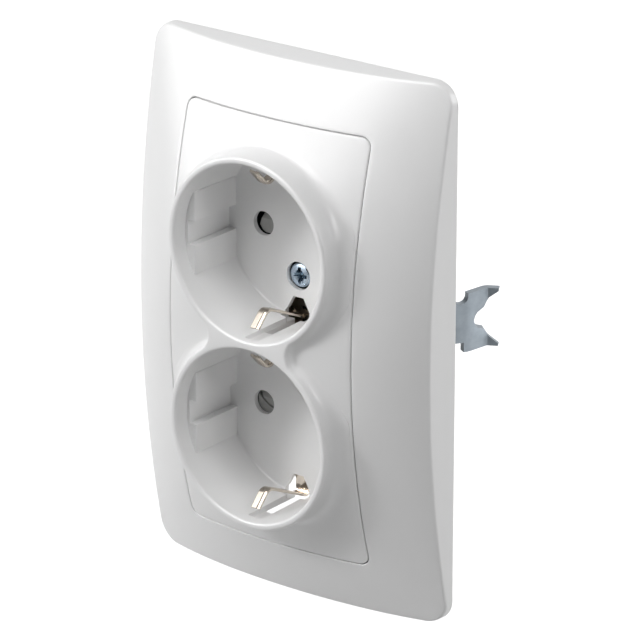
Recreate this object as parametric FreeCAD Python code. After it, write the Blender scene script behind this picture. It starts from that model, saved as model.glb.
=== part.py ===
import FreeCAD, Part
import math
import os

# Double type F wall socket for one 60 mm wall box, in millimetres.
# X is to the right seen from the front, the face looks towards -Y, Z is up, the wall is the plane Y = 0.

V = FreeCAD.Vector
os.makedirs("parts", exist_ok=True)

# Cover frame: how far it reaches past the strap at the sides and past the centre plate at the ends
frame_side_reach = 4.5
frame_end_reach = 12.55
frame_corner = 5.5
frame_wall = 2.2
shell_thickness = 2.2
front_edge = 0.6
mould_draft = 0.055
rib_thickness = 1.2
rib_rows_z = (12.0, 36.0)
rib_rows_x = (14.0,)
rib_strap_gap = 2.0
rib_plate_gap = 0.4

# Cutting tools and blanks run this far past what they shape
past = 5.0
far = 40.0

# Crowned face: height in front of the wall on the centre line and at the sides
crown_mid = 19.62
crown_mid_fall = 11.90
crown_side = 8.59
crown_side_fall = 6.93
crown_side_inset = 0.5
crown_end_inset = 1.2
crown_curl = 0.462
crown_curl_fall = 0.242

# Centre plate: its land beside and beyond the collar, and the step of the frame it lies on
plate_side_land = 3.12
plate_end_land = 6.32
plate_corner = 2.3
plate_gap = 0.3
step_depth = 3.0
step_width = 1.9
step_thickness = 1.8
skirt_thickness = 1.5
seat_gap = 0.05

# Wells
well_web = 1.16
well_radius_floor = 19.45
well_radius_mouth = 19.75
well_wall = 1.6
rim_stand = 1.48
rim_radius = 21.3
rim_bevel = 0.4
waist_round = 4.2
floor_front = 2.84
floor_thickness = 1.2
rib_face_x = 17.0
rib_groove_x = 18.95
rib_half_length = 9.45
rib_groove_half = 2.75
rib_front = 17.1
clip_slot_front = 18.0
clip_slot_half = 1.9
clip_slot_round = 0.85
clip_slot_web = 0.62
slot_floor_deep = 9.5
floor_slot_half = 3.0
floor_slot_tip = 1.35
pin_spacing = 19.0
pin_hole_radius = 2.75

# Fixing screw of the centre plate
plate_screw_drop = 10.0
plate_screw_head_radius = 2.7
plate_screw_head_front = 2.55
plate_screw_seat = 0.8
plate_screw_radius = 1.45
plate_screw_length = 10.0
plate_screw_drive = 1.9
dimple_x = 1.15
dimple_drop = 1.3
dimple_radius = 0.4
dimple_depth = 0.2
recess_radius = 3.0
recess_wall = 1.0
drive_slot = 0.84
screw_edge = 0.45
screw_point = 0.8
nut_width = 5.5
nut_front = 3.05
nut_back = 5.4

# Earth bar and clips: distances along Z are from the well axis
clip_thickness = 0.55
clip_width = 2.4
clip_root_width = 3.4
clip_slot_top = 14.85
clip_slot_step = 17.85
clip_end = 16.4
bar_half_width = 2.6
bar_room = 0.7
bar_eye = 2.2
bar_taper = 3.2
bar_spread = 4.6
bar_dip = 3.0
bar_dip_half = 5.2
dip_slope = 1.1
pad_half_x = 8.0
pad_half_z = 4.2
clip_rivet_x = 5.6
clip_rivet_radius = 0.8
clip_rivet_head = 1.4
earth_leg_x = 3.4
earth_leg_z = -10.6
earth_leg_half = 3.0
earth_leg_thickness = 0.6

# Mounting strap, its slots for the box screws and its holes for wood screws
strap_thickness = 1.0
strap_half_x = 35.5
strap_half_z = 35.2
strap_corner = 6.0
box_screw_spacing = 60.0
box_slot_half_width = 1.9
box_slot_length = 5.6
corner_hole_inset = 6.0
corner_hole_radius = 1.6
fit_clearance = 0.03

# Socket base
base_radius = 27.8
base_flat_x = 24.6
base_depth = 18.0
cover_thickness = 2.2
cover_edge = 0.6
boss_half_x = 16.5
boss_radius = 31.4
boss_front = 1.6
boss_back = 2.0
box_clearance = 0.2
bay_x = 18.4
bay_half_z = 7.8
ledge_root = 0.4
ledge_reach = 1.2
pin_room = 0.35
shutter_floor_gap = 0.15

# Contacts and terminals
contact_thickness = 0.7
contact_front = 3.4
contact_cover_gap = 3.1
contact_half_z = 2.6
contact_mouth = 1.2
contact_waist = 3.8
contact_foot = 0.5
pin_grip_radius = 2.25
rail_height = 3.8
rail_inset = 0.9
rail_wide_half = 5.6
rail_wide_front = 1.6
cavity_gap = 0.15
cavity_web = 2.2
cavity_room = 0.8
wire_hole_radius = 1.75
wire_hole_inset = 1.3
wire_pitch = 6.4
earth_wire_radius = 1.35
spring_width = 3.1
spring_leg = 10.9
spring_free_leg = 7.5
spring_thickness = 0.4
spring_half = 5.0
spring_cover_gap = 1.1
earth_spring_half = 2.6
earth_spring_gap = 3.3
release_slot = 0.95
release_half = 4.4

# Shutters
shutter_front = 1.45
shutter_back = 0.6
hub_radius = 3.9
hub_front = 0.85
post_radius = 1.5
post_clearance = 0.06
arm_half_width = 2.8
arm_reach = 12.4
pocket_radius = 13.3
pocket_half_z = 9.6
arm_start = 6.0
arm_trim = 0.3
tip_start = 2.1
tip_nose = 0.8
slit_radius = 6.6
slit_width = 0.45
slit_depth = 0.2
slit_x = 6.1
slit_z = -5.2
slit_start = 7.4
ramp_crest = 0.6
leaf_thickness = 0.25
leaf_half = 0.5

# Claws
claw_lean = 31.0
claw_thickness = 1.8
claw_heel_x = 19.7
claw_heel_y = 5.6
claw_leg = 16.7
claw_fork_lean = 9.3
claw_fork = 5.95
claw_tip_lean = 61.0
claw_tip = 2.87
claw_half_z = 6.67
claw_neck_z = 4.45
claw_neck_top = 9.6
claw_notch_at = 15.1
claw_notch_radius = 1.65
claw_foot = 8.6
claw_ledge_gap = 0.25
claw_window = (3.6, 13.2)
claw_window_half = 2.3
claw_barb = 1.8
claw_shoulder = 0.9
claw_bend = 3.0
claw_fork_bend = 1.3
claw_slot_length = 5.8
claw_screw_x = 24.2
claw_screw_radius = 1.75
claw_screw_room = 0.25
claw_screw_head = 3.0
claw_screw_height = 1.9
claw_screw_length = 13.0
claw_screw_drive = 2.1
rivet_x = 21.2
rivet_z = 10.5
rivet_radius = 1.4
rivet_head_radius = 2.1
rivet_head = 0.7

# Sizes that follow from those above
well_z = well_radius_mouth + rim_bevel + well_web / 2
rim_front = crown_mid + rim_stand
flare = rim_stand - rim_bevel - 0.05
plate_half_x = rim_radius + plate_side_land
plate_half_z = well_z + rim_radius + plate_end_land
frame_width = 2 * (strap_half_x + frame_side_reach)
frame_height = 2 * (plate_half_z + plate_gap + frame_end_reach)
crown_side_x = frame_width / 2 - crown_side_inset
crown_fall_z = frame_height / 2 - crown_end_inset
floor_back = -(floor_front - floor_thickness)
contact_back = base_depth - contact_cover_gap
earth_leg_back = contact_back - rail_inset
well_outer = well_radius_floor + well_wall
bar_back = -(strap_thickness + fit_clearance)
bar_front = bar_back - clip_thickness
pin_x = pin_spacing / 2
screw_z = well_z - plate_screw_drop
rail_x = pin_x + pin_grip_radius + contact_thickness / 2 + contact_foot
terminal_x = rail_x + contact_thickness / 2 + cavity_gap
terminal_end = terminal_x + spring_width + wire_hole_inset - spring_thickness / 2
groove_half = bar_half_width + bar_room
window_half_x = boss_half_x + box_clearance
window_radius = boss_radius + 2 * box_clearance


def save(name, shape):
    """Write one piece as parts/NAME.step."""
    shape.exportStep("parts/" + name + ".step")


def box(x0, x1, y0, y1, z0, z1):
    """A block between two corners."""
    return Part.makeBox(x1 - x0, y1 - y0, z1 - z0, V(x0, y0, z0))


def rod(radius, y0, y1, x=0.0, z=0.0):
    """A round bar along Y."""
    return Part.makeCylinder(radius, y1 - y0, V(x, y0, z), V(0, 1, 0))


def taper(r0, r1, y0, y1, x=0.0, z=0.0):
    """A cone frustum along Y."""
    return Part.makeCone(r0, r1, y1 - y0, V(x, y0, z), V(0, 1, 0))


def turned(shape, angle, x=0.0, z=0.0):
    """A copy turned by angle degrees about the Y line through (x, z)."""
    copy = shape.copy()
    copy.rotate(V(x, 0, z), V(0, 1, 0), angle)
    return copy


def mirrored_x(shape):
    """The same piece for the other side."""
    return shape.mirror(V(0, 0, 0), V(1, 0, 0))


def joined(shapes):
    """One solid from several that touch."""
    return shapes[0].multiFuse(shapes[1:]).removeSplitter() if len(shapes) > 1 else shapes[0]


def outline(points, y):
    """A closed straight-sided outline in the plane Y = y, from (x, z) pairs."""
    return Part.makePolygon([V(x, y, z) for x, z in points + points[:1]])


def plate_of(wire, depth):
    """The outline pushed back by depth."""
    return Part.Face(wire).extrude(V(0, depth, 0))


def rounded_outline(half_x, half_z, radius, y):
    """A rectangle with round corners in the plane Y = y."""
    cut = radius * (1 - math.sqrt(0.5))
    edges = []
    for sx, sz in ((1, -1), (1, 1), (-1, 1), (-1, -1)):
        side = V(sx * half_x, y, sz * (half_z - radius))
        end = V(sx * (half_x - radius), y, sz * half_z)
        middle = V(sx * (half_x - cut), y, sz * (half_z - cut))
        first, last = (end, side) if sx * sz < 0 else (side, end)
        edges.append(Part.Arc(first, middle, last).toShape())
    closing = []
    for index, arc in enumerate(edges):
        follower = edges[(index + 1) % 4]
        closing.append(arc)
        closing.append(Part.makeLine(arc.Vertexes[-1].Point, follower.Vertexes[0].Point))
    return Part.Wire(closing)


def rounded_block(half_x, half_z, radius, y0, y1):
    """A block along Y with four round corners."""
    return plate_of(rounded_outline(half_x, half_z, radius, y0), y1 - y0)


def drafted_block(half_x, half_z, radius, depth):
    """A round-cornered block that narrows towards the front, as a moulding leaves its tool."""
    shrink = mould_draft * depth
    back = rounded_outline(half_x, half_z, radius, 0)
    front = rounded_outline(half_x - shrink, half_z - shrink, radius - shrink, -depth)
    return Part.makeLoft([back, front], True, True)


def behind_crown(lift):
    """Everything behind the crowned face, moved back by lift.

    The face is a polynomial in x and z with squares and fourth powers only. On five poles from -1 to 1
    a square has the heights 1, 0, -1/3, 0, 1 and a fourth power 1, -1, 1, -1, 1.
    """
    square = (1, 0, -1 / 3, 0, 1)
    fourth = (1, -1, 1, -1, 1)
    half_x = frame_width * 0.525
    half_z = frame_height * 0.525
    drop = crown_mid - crown_side
    drop_fall = crown_mid_fall - crown_side_fall
    poles = []
    for i in range(5):
        x2 = square[i] * (half_x / crown_side_x) ** 2
        x4 = fourth[i] * (half_x / crown_side_x) ** 4
        column = []
        for j in range(5):
            z2 = square[j] * (half_z / crown_fall_z) ** 2
            z4 = fourth[j] * (half_z / crown_fall_z) ** 4
            curled = drop * crown_curl - (drop * crown_curl_fall + drop_fall * crown_curl) * z2
            curled += drop_fall * crown_curl_fall * z4
            bent = drop - drop_fall * z2 - curled
            height = crown_mid - crown_mid_fall * z2 - bent * x2 - curled * x4
            column.append(V(half_x * (i / 2 - 1), lift - height, half_z * (j / 2 - 1)))
        poles.append(column)
    surface = Part.BezierSurface()
    surface.increase(4, 4)
    for i in range(5):
        for j in range(5):
            surface.setPole(i + 1, j + 1, poles[i][j])
    return surface.toShape().extrude(V(0, 60, 0))


def eight_outline(radius, waist, y):
    """Two circles about the wells, joined by hollow arcs at the waist."""
    waist_x = math.sqrt((radius + waist) ** 2 - well_z ** 2)
    share = radius / (radius + waist)
    touch_x = waist_x * share
    touch_z = well_z * (1 - share)
    top = Part.Arc(V(touch_x, y, touch_z), V(0, y, well_z + radius), V(-touch_x, y, touch_z))
    left = Part.Arc(V(-touch_x, y, touch_z), V(waist - waist_x, y, 0), V(-touch_x, y, -touch_z))
    low = Part.Arc(V(-touch_x, y, -touch_z), V(0, y, -well_z - radius), V(touch_x, y, -touch_z))
    right = Part.Arc(V(touch_x, y, -touch_z), V(waist_x - waist, y, 0), V(touch_x, y, touch_z))
    return Part.Wire([arc.toShape() for arc in (top, left, low, right)])


def sheet(points, thickness, place, w0, w1):
    """A bent strip: points are (u, v, bend radius), place turns (u, v, w) into a position."""
    half = thickness / 2
    nodes = [V(u, v, 0) for u, v, radius in points]
    upper, lower = [], []
    last = nodes[0]
    for i in range(1, len(nodes)):
        run = (nodes[i] - nodes[i - 1]).normalize()
        side = V(-run.y, run.x, 0)
        if i == len(nodes) - 1:
            stop = nodes[i]
        else:
            out = (nodes[i + 1] - nodes[i]).normalize()
            turn = run.getAngle(out)
            reach = points[i][2] * math.tan(turn / 2)
            stop = nodes[i] - run * reach
        upper.append((last + side * half, stop + side * half))
        lower.append((last - side * half, stop - side * half))
        if i < len(nodes) - 1:
            sign = 1 if run.cross(out).z > 0 else -1
            radius = points[i][2]
            centre = stop + side * (sign * radius)
            middle = (nodes[i] - centre).normalize()
            after = nodes[i] + out * reach
            turned_side = V(-out.y, out.x, 0)
            upper.append((stop + side * half, centre + middle * (radius - sign * half), after + turned_side * half))
            lower.append((stop - side * half, centre + middle * (radius + sign * half), after - turned_side * half))
            last = after
    edges = []
    for run in upper + [(upper[-1][-1], lower[-1][-1])]:
        edges.append(run)
    for run in reversed(lower):
        edges.append(tuple(reversed(run)))
    edges.append((lower[0][0], upper[0][0]))
    shapes = []
    for run in edges:
        placed = [place(p.x, p.y, w0) for p in run]
        if len(placed) == 2:
            shapes.append(Part.makeLine(placed[0], placed[1]))
        else:
            shapes.append(Part.Arc(placed[0], placed[1], placed[2]).toShape())
    travel = place(0, 0, w1) - place(0, 0, w0)
    return Part.Face(Part.Wire(shapes)).extrude(travel)


def cover_frame():
    """Outer frame: crowned shell, step for the centre plate and stiffening ribs."""
    depth = rim_front + 1
    body = drafted_block(frame_width / 2, frame_height / 2, frame_corner, depth)
    body = body.common(behind_crown(0))
    body = body.makeChamfer(front_edge, crowned_face(body).Edges)
    inner_x = frame_width / 2 - frame_wall
    inner_z = frame_height / 2 - frame_wall
    hollow = drafted_block(inner_x, inner_z, frame_corner - frame_wall + 0.5, depth)
    body = body.cut(hollow.common(behind_crown(shell_thickness)))
    open_x = plate_half_x + plate_gap
    open_z = plate_half_z + plate_gap
    corner = plate_corner + plate_gap
    rim = rounded_block(open_x + step_width, open_z + step_width, corner + step_width, -depth, past)
    rim = rim.common(behind_crown(shell_thickness / 2))
    rim = rim.cut(behind_crown(step_depth + step_thickness))
    ribs = []
    back, half = -strap_thickness - rib_strap_gap, rib_thickness / 2
    for way in (1, -1):
        for z in rib_rows_z:
            ribs.append(box(-inner_x, inner_x, -depth, back, way * z - half, way * z + half))
        for x in rib_rows_x:
            ribs.append(box(way * x - half, way * x + half, -depth, back, -inner_z, inner_z))
    ribs = ribs[0].multiFuse(ribs[1:]).common(hollow).common(behind_crown(shell_thickness / 2))
    ribs = ribs.cut(rounded_block(open_x + rib_plate_gap, open_z + rib_plate_gap, corner, -depth, past))
    body = body.multiFuse([rim, ribs])
    rebate = rounded_block(open_x, open_z, corner, -depth, past).cut(behind_crown(step_depth))
    body = body.cut(rebate)
    opening = rounded_block(open_x - step_width, open_z - step_width, corner - step_width / 2, -depth, past)
    return body.cut(opening)


def crowned_face(body):
    """The largest curved face, which is the crowned one."""
    curved = [face for face in body.Faces if isinstance(face.Surface, Part.BezierSurface)]
    return max(curved, key=lambda face: face.Area)


def flare_edges(body):
    """Edges where the collar of the wells runs into the crowned plate."""
    face = crowned_face(body)
    found = []
    for wire in face.Wires:
        if not wire.isSame(face.OuterWire):
            found += wire.Edges
    return found


def collar():
    """Solid collar of both wells with a bevelled front rim."""
    grow = mould_draft * (rim_front + floor_back)
    front = eight_outline(rim_radius, waist_round, -rim_front)
    back = eight_outline(rim_radius + grow, waist_round - grow, floor_back)
    body = Part.makeLoft([front, back], True, True)
    rim = [edge for edge in body.Edges if edge.BoundBox.YMax < -rim_front + 1e-4]
    return body.makeChamfer(rim_bevel, rim)


def well_bore(z):
    """The space of one well, opening out at the rim."""
    bore = taper(well_radius_mouth, well_radius_floor, -rim_front, -floor_front, 0, z)
    over = 0.5
    mouth = taper(well_radius_mouth + rim_bevel + over, well_radius_mouth, -rim_front - over,
                  rim_bevel - rim_front, 0, z)
    return bore.fuse(mouth)


def guide_ribs(z):
    """The two grooved guide ribs in one well."""
    inside = rod(well_radius_floor + 0.7, -rib_front, floor_back, 0, z)
    ribs = []
    for side in (1, -1):
        x0, x1 = sorted((side * rib_face_x, side * 21.0))
        rib = box(x0, x1, -rib_front, floor_back, z - rib_half_length, z + rib_half_length)
        x0, x1 = sorted((side * 15.0, side * rib_groove_x))
        rib = rib.cut(box(x0, x1, -rim_front, -floor_front, z - rib_groove_half, z + rib_groove_half))
        ribs.append(rib.common(inside))
    return ribs


def clip_slots(z, way):
    """Slot for an earth clip in the floor and the wall; way is +1 above the well axis, -1 below."""
    half = floor_slot_half
    flat = [(-floor_slot_tip, z + way * clip_slot_top), (floor_slot_tip, z + way * clip_slot_top)]
    flat += [(half, z + way * clip_slot_step), (half, z + way * (well_outer - 0.6))]
    flat += [(-half, z + way * (well_outer - 0.6)), (-half, z + way * clip_slot_step)]
    floor = plate_of(outline(flat, -floor_front - floor_thickness), 3 * floor_thickness)
    start = clip_slot_step - clip_slot_round
    deep = well_outer + 1 if way * z > 0 else well_z - clip_slot_web
    low, high = sorted((z + way * start, z + way * deep))
    back = box(-clip_slot_half, clip_slot_half, -slot_floor_deep, 0, low, high)
    low, high = sorted((z + way * start, z + way * min(deep, rim_radius - clip_slot_round)))
    front = box(-clip_slot_half, clip_slot_half, -clip_slot_front, 0.5 - slot_floor_deep, low, high)
    return [floor, back, front]


def centre_plate():
    """Centre plate: crowned insert with both wells, in one moulding."""
    depth = rim_front + 1
    body = rounded_block(plate_half_x, plate_half_z, plate_corner, -depth, past).common(behind_crown(0))
    body = body.fuse(collar())
    body = body.makeChamfer(flare, flare_edges(body))
    inner = plate_corner - skirt_thickness / 2
    hollow = rounded_block(plate_half_x - skirt_thickness, plate_half_z - skirt_thickness, inner, -depth, far)
    hollow = hollow.common(behind_crown(shell_thickness))
    behind = rounded_block(plate_half_x + past, plate_half_z + past, inner, -depth, far)
    behind = behind.common(behind_crown(step_depth - seat_gap))
    wells = [rod(well_outer, -depth, floor_back, 0, z) for z in (well_z, -well_z)]
    hollow = hollow.fuse(behind).cut(wells[0].fuse(wells[1]))
    body = body.cut(hollow)
    body = body.cut(well_bore(well_z)).cut(well_bore(-well_z))
    additions = [rod(recess_radius + recess_wall, floor_back - floor_thickness / 3, 1.0, 0, screw_z)]
    removals = [rod(recess_radius, -floor_front - 1, -plate_screw_seat, 0, screw_z)]
    removals.append(rod(plate_screw_radius + plate_gap, -past, past, 0, screw_z))
    for z in (well_z, -well_z):
        additions += guide_ribs(z)
        removals += clip_slots(z, 1) + clip_slots(z, -1)
        removals += [rod(pin_hole_radius, -past, past, x, z) for x in (pin_x, -pin_x)]
    body = body.multiFuse(additions)
    return body.cut(removals[0].multiFuse(removals[1:]))


def cross_recess(x, z, front, radius, depth):
    """Tapered cross slot for a screwdriver."""
    arms = []
    for angle in (0, 90):
        arm = box(-radius, radius, front - 0.1, front + depth, -drive_slot / 2, drive_slot / 2)
        arm = arm.common(taper(radius, drive_slot / 2, front - 0.1, front + depth))
        arm.rotate(V(0, 0, 0), V(0, 1, 0), angle)
        arms.append(arm)
    cross = arms[0].fuse(arms[1])
    cross.translate(V(x, 0, z))
    return cross


def pan_screw(x, z, seat, head_radius, head_height, radius, length, drive):
    """Pan-head screw along Y with a cross recess and a pointed end."""
    front = seat - head_height
    head = rod(head_radius, front + screw_edge, seat, x, z)
    head = head.fuse(taper(head_radius - screw_edge * 1.4, head_radius, front, front + screw_edge, x, z))
    shank = rod(radius, seat - 0.1, seat + length, x, z)
    point = taper(radius, radius * 0.6, seat + length, seat + length + screw_point, x, z)
    return joined([head, shank, point]).cut(cross_recess(x, z, front, drive, head_height * 0.75))


def plate_screw():
    """Fixing screw of the centre plate, with the small dimple in its head."""
    height = plate_screw_head_front - plate_screw_seat
    screw = pan_screw(0, screw_z, -plate_screw_seat, plate_screw_head_radius, height, plate_screw_radius,
                      plate_screw_length, plate_screw_drive)
    front = -plate_screw_head_front
    return screw.cut(rod(dimple_radius, front - 1, front + dimple_depth, dimple_x, screw_z - dimple_drop))


def plate_nut():
    """Square nut that takes the fixing screw."""
    half = nut_width / 2
    nut = box(-half, half, nut_front, nut_back, screw_z - half, screw_z + half)
    return nut.cut(rod(plate_screw_radius + fit_clearance, 0, nut_back + past, 0, screw_z))


def earth_clip(z, way):
    """One outer earth clip with its J-shaped root, bent from the end of the bar."""
    path = [(17.6, -18.1, 0), (13.85, -14.5, 2.2), (15.75, -9.4, 8.0), (20.45, -0.25, 0.75),
            (18.4, bar_front + 0.27, 0.8), (16.2, bar_front + clip_thickness / 2, 0)]

    def place(u, v, w):
        return V(w, v, z + way * u)

    strip = sheet(path, clip_thickness, place, -clip_root_width / 2, clip_root_width / 2)
    half, root = clip_width / 2, clip_root_width / 2
    right = [(half, -rim_front), (half, -12.0), (root, -6.0), (root, past)]
    shape = right + [(-x, y) for x, y in reversed(right)]
    corners = [V(x, y, -2 * far) for x, y in shape + shape[:1]]
    front = Part.Face(Part.makePolygon(corners)).extrude(V(0, 0, 4 * far))
    return strip.common(front)


def earth_bar():
    """Earth bar behind both wells: dipped bar, two outer clips and the leg of the earth terminal."""
    end = well_z + clip_end
    middle = (bar_front + bar_back) / 2
    foot = bar_dip_half + dip_slope
    path = [(-end, middle, 0), (-foot, middle, 0.6), (-bar_dip_half, middle + bar_dip, 0.6),
            (bar_dip_half, middle + bar_dip, 0.6), (foot, middle, 0.6), (end, middle, 0)]

    def place(u, v, w):
        return V(w, v, u)

    strip = sheet(path, clip_thickness, place, -pad_half_x, pad_half_x)
    half, tip, root = bar_half_width, clip_root_width / 2, well_z + clip_slot_step - bar_spread
    shoulder = (half + tip) / 2 + bar_room
    quarter = [(tip, end), (shoulder, end - bar_taper), (half, root), (half, pad_half_z), (pad_half_x, pad_half_z)]
    right = quarter + [(x, -z) for x, z in reversed(quarter)]
    flat = right + [(-x, z) for x, z in reversed(right)]
    bar = strip.common(plate_of(outline(flat, -past), 2 * past))
    eye = rod(recess_radius + bar_eye, bar_front, bar_back, 0, screw_z)
    low, high = earth_leg_z - earth_leg_half, earth_leg_z + earth_leg_half
    leg_end = earth_leg_x + earth_leg_thickness
    wing = box(0, leg_end, bar_front, bar_back, low, high)
    leg = box(earth_leg_x, leg_end, bar_front, earth_leg_back, low, high)
    bar = joined([bar, eye, wing, leg, earth_clip(well_z, 1), earth_clip(-well_z, -1)])
    window = bar_half_width - 0.4
    holes = [rod(recess_radius + bar_eye - 1.0, -past, 0, 0, screw_z)]
    holes.append(box(-window, window, -past, past, -window, window))
    holes += [rod(clip_rivet_radius, 0, past, x, 0) for x in (clip_rivet_x, -clip_rivet_x)]
    return bar.cut(holes[0].multiFuse(holes[1:]))


def inner_clips():
    """U-shaped spring with the two inner earth clips, fixed under the bar."""
    seat = bar_back + bar_dip + fit_clearance
    root = seat + clip_thickness / 2
    half = [(17.5, -18.1, 0), (13.85, -14.5, 2.2), (15.3, -9.4, 8.0), (18.75, -3.6, 3.0), (19.2, root, 0.6)]
    path = [(well_z - u, v, r) for u, v, r in half] + [(u - well_z, v, r) for u, v, r in reversed(half)]

    def place(u, v, w):
        return V(w, v, u)

    strip = sheet(path, clip_thickness, place, -clip_width / 2, clip_width / 2)
    ears = box(0.4 - pad_half_x, pad_half_x - 0.4, seat, seat + clip_thickness, -1.0, 1.0)
    for x in (clip_rivet_x, -clip_rivet_x):
        ears = ears.cut(rod(clip_rivet_radius, -past, past, x, 0))
    return joined([strip, ears])


def clip_rivets():
    """Two small rivets that hold the U-shaped spring to the bar."""
    rivets = []
    front = bar_front + bar_dip - fit_clearance
    back = bar_back + bar_dip + clip_thickness + 2 * fit_clearance
    for x in (clip_rivet_x, -clip_rivet_x):
        shank = rod(clip_rivet_radius - fit_clearance, front, back, x, 0)
        heads = [rod(clip_rivet_head, front - 0.4, front, x, 0), rod(clip_rivet_head, back, back + 0.4, x, 0)]
        rivets.append(joined([shank] + heads))
    return Part.makeCompound(rivets)


def rivet_holes(side):
    """Holes for the two long rivets on one side."""
    return [rod(rivet_radius + fit_clearance, -past, far, side * rivet_x, z) for z in (rivet_z, -rivet_z)]


def claw_bay(side):
    """The open bay of one claw in the base and the rear cover."""
    low, high = sorted((side * bay_x, side * far))
    return box(low, high, 0, far, -bay_half_z, bay_half_z)


def base_round(y0, y1):
    """Round outline of the base with flats at the claws."""
    return rod(base_radius, y0, y1).common(box(-base_flat_x, base_flat_x, y0, y1, -far, far))


def mounting_strap():
    """Steel strap with slots for the box screws, holes for the claw screws and the rivets."""
    strap = rounded_block(strap_half_x, strap_half_z, strap_corner, -strap_thickness, 0)
    window = box(-window_half_x, window_half_x, -past, past, -far, far).common(rod(window_radius, -past, past))
    cuts = [window]
    for side in (1, -1):
        x = side * box_screw_spacing / 2
        reach = box_slot_length / 2 - box_slot_half_width
        cuts.append(box(x - reach, x + reach, -past, past, -box_slot_half_width, box_slot_half_width))
        cuts += [rod(box_slot_half_width, -past, past, x + shift, 0) for shift in (reach, -reach)]
        cuts.append(rod(claw_screw_radius + claw_screw_room, -past, past, side * claw_screw_x, 0))
        cuts += rivet_holes(side)
        for z in (strap_half_z - corner_hole_inset, corner_hole_inset - strap_half_z):
            cuts.append(rod(corner_hole_radius, -past, past, side * (strap_half_x - corner_hole_inset), z))
    return strap.cut(cuts[0].multiFuse(cuts[1:]))


def sector_pocket(z, y0, y1):
    """Recess in which a shutter swings."""
    disc = rod(pocket_radius, y0, y1, 0, z)
    return disc.common(box(-far, far, y0, y1, z - pocket_half_z, z + pocket_half_z))


def contact_cavity(side):
    """Room for one contact rail, its two pin grips and the wire terminal."""
    reach = pin_grip_radius + contact_mouth + contact_thickness + cavity_gap + 0.4
    inner, outer = pin_x - reach, pin_x + reach
    half = contact_half_z + cavity_gap
    rail = contact_back - rail_inset - rail_height - contact_mouth
    cuts = []
    for z in (well_z, -well_z):
        cuts.append((inner, outer, contact_front - 0.4, z - half, z + half))
    cuts.append((outer - cavity_web, outer, rail, -well_z, well_z))
    wide = rail_wide_half + cavity_room
    cuts.append((outer - cavity_web, terminal_end, contact_front + rail_wide_front - 1.0, -wide, wide))
    shapes = []
    for x0, x1, y0, z0, z1 in cuts:
        low, high = sorted((side * x0, side * x1))
        shapes.append(box(low, high, y0, base_depth + 1, z0, z1))
    return shapes


def socket_base():
    """Moulded base with pockets for contacts, terminals and shutters, and bays for the claws."""
    body = base_round(0, base_depth)
    boss = rod(boss_radius, -boss_front, boss_back).common(box(-boss_half_x, boss_half_x, -past, past, -far, far))
    body = body.fuse(boss)
    cuts = []
    for side in (1, -1):
        cuts.append(claw_bay(side))
        cuts += contact_cavity(side) + rivet_holes(side)
        for z in (well_z, -well_z):
            cuts.append(rod(pin_hole_radius + pin_room, -past, contact_front + past, side * pin_x, z))
    for z in (well_z, -well_z):
        cuts.append(sector_pocket(z, -past, shutter_back + shutter_floor_gap))
    groove = bar_back + fit_clearance
    dip = bar_back + bar_dip + clip_thickness + cavity_room
    half, tall = groove_half, bar_dip_half + dip_slope + 0.5
    wide, high = pad_half_x + plate_gap, pad_half_z + plate_gap
    cuts.append(box(-half, half, -past, groove, -far, far))
    cuts.append(box(-wide, wide, -past, dip, -high, high))
    cuts.append(box(-half, half, -past, groove + bar_dip, -tall, tall))
    cuts.append(rod(recess_radius + bar_eye + plate_gap, -past, groove, 0, screw_z))
    low, high = earth_leg_z - earth_leg_half - 0.4, earth_leg_z + earth_leg_half + 0.4
    wide = earth_leg_x + earth_leg_thickness + plate_gap
    cuts.append(box(-half, wide, -past, groove, low, high))
    cuts.append(box(-half - plate_gap, wide, bar_front, base_depth + 1, low, high))
    cuts.append(rod(recess_radius + recess_wall + box_clearance, -past, 1.0 + box_clearance, 0, screw_z))
    cuts.append(rod(plate_screw_radius + plate_gap, -past, base_depth + 0.5, 0, screw_z))
    room = nut_width / 2 + 0.1
    cuts.append(box(-room, room, nut_front - 0.05, base_depth + 1, screw_z - room, screw_z + room))
    body = body.cut(cuts[0].multiFuse(cuts[1:]))
    posts = []
    for z in (well_z, -well_z):
        posts.append(rod(post_radius, -hub_front - 0.1, shutter_back + 2 * shutter_floor_gap, 0, z))
    ledges = []
    for side in (1, -1):
        x0, x1 = sorted((side * (bay_x - ledge_root), side * (claw_heel_x + ledge_reach)))
        shelf = claw_heel_y - claw_thickness / 2 - claw_ledge_gap
        ledges.append(box(x0, x1, 0, shelf, -bay_half_z - ledge_root, bay_half_z + ledge_root))
    return body.multiFuse(posts + ledges)


def rear_cover():
    """Rear cover with wire entries, release slots and rivet holes."""
    disc = base_round(base_depth, base_depth + cover_thickness)
    rim = base_depth + cover_thickness - 1e-4
    disc = disc.makeChamfer(cover_edge, [edge for edge in disc.Edges if edge.BoundBox.YMin > rim])
    cuts = []
    for side in (1, -1):
        cuts.append(claw_bay(side))
        cuts += rivet_holes(side)
        for z in (wire_pitch / 2, -wire_pitch / 2):
            cuts.append(rod(wire_hole_radius, 0, far, side * (terminal_x + wire_hole_inset), z))
        x0, x1 = sorted((side * terminal_end, side * (terminal_end - release_slot)))
        cuts.append(box(x0, x1, 0, far, -release_half, release_half))
    spring = earth_leg_x - earth_spring_gap
    for z in (earth_leg_z + wire_pitch / 4, earth_leg_z - wire_pitch / 4):
        cuts.append(rod(earth_wire_radius, 0, far, spring + wire_hole_inset + cavity_web / 4, z))
    half = earth_leg_half - earth_leg_thickness
    slot = spring - wire_hole_inset
    cuts.append(box(slot - release_slot, slot, 0, far, earth_leg_z - half, earth_leg_z + half))
    return disc.cut(cuts[0].multiFuse(cuts[1:]))


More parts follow.
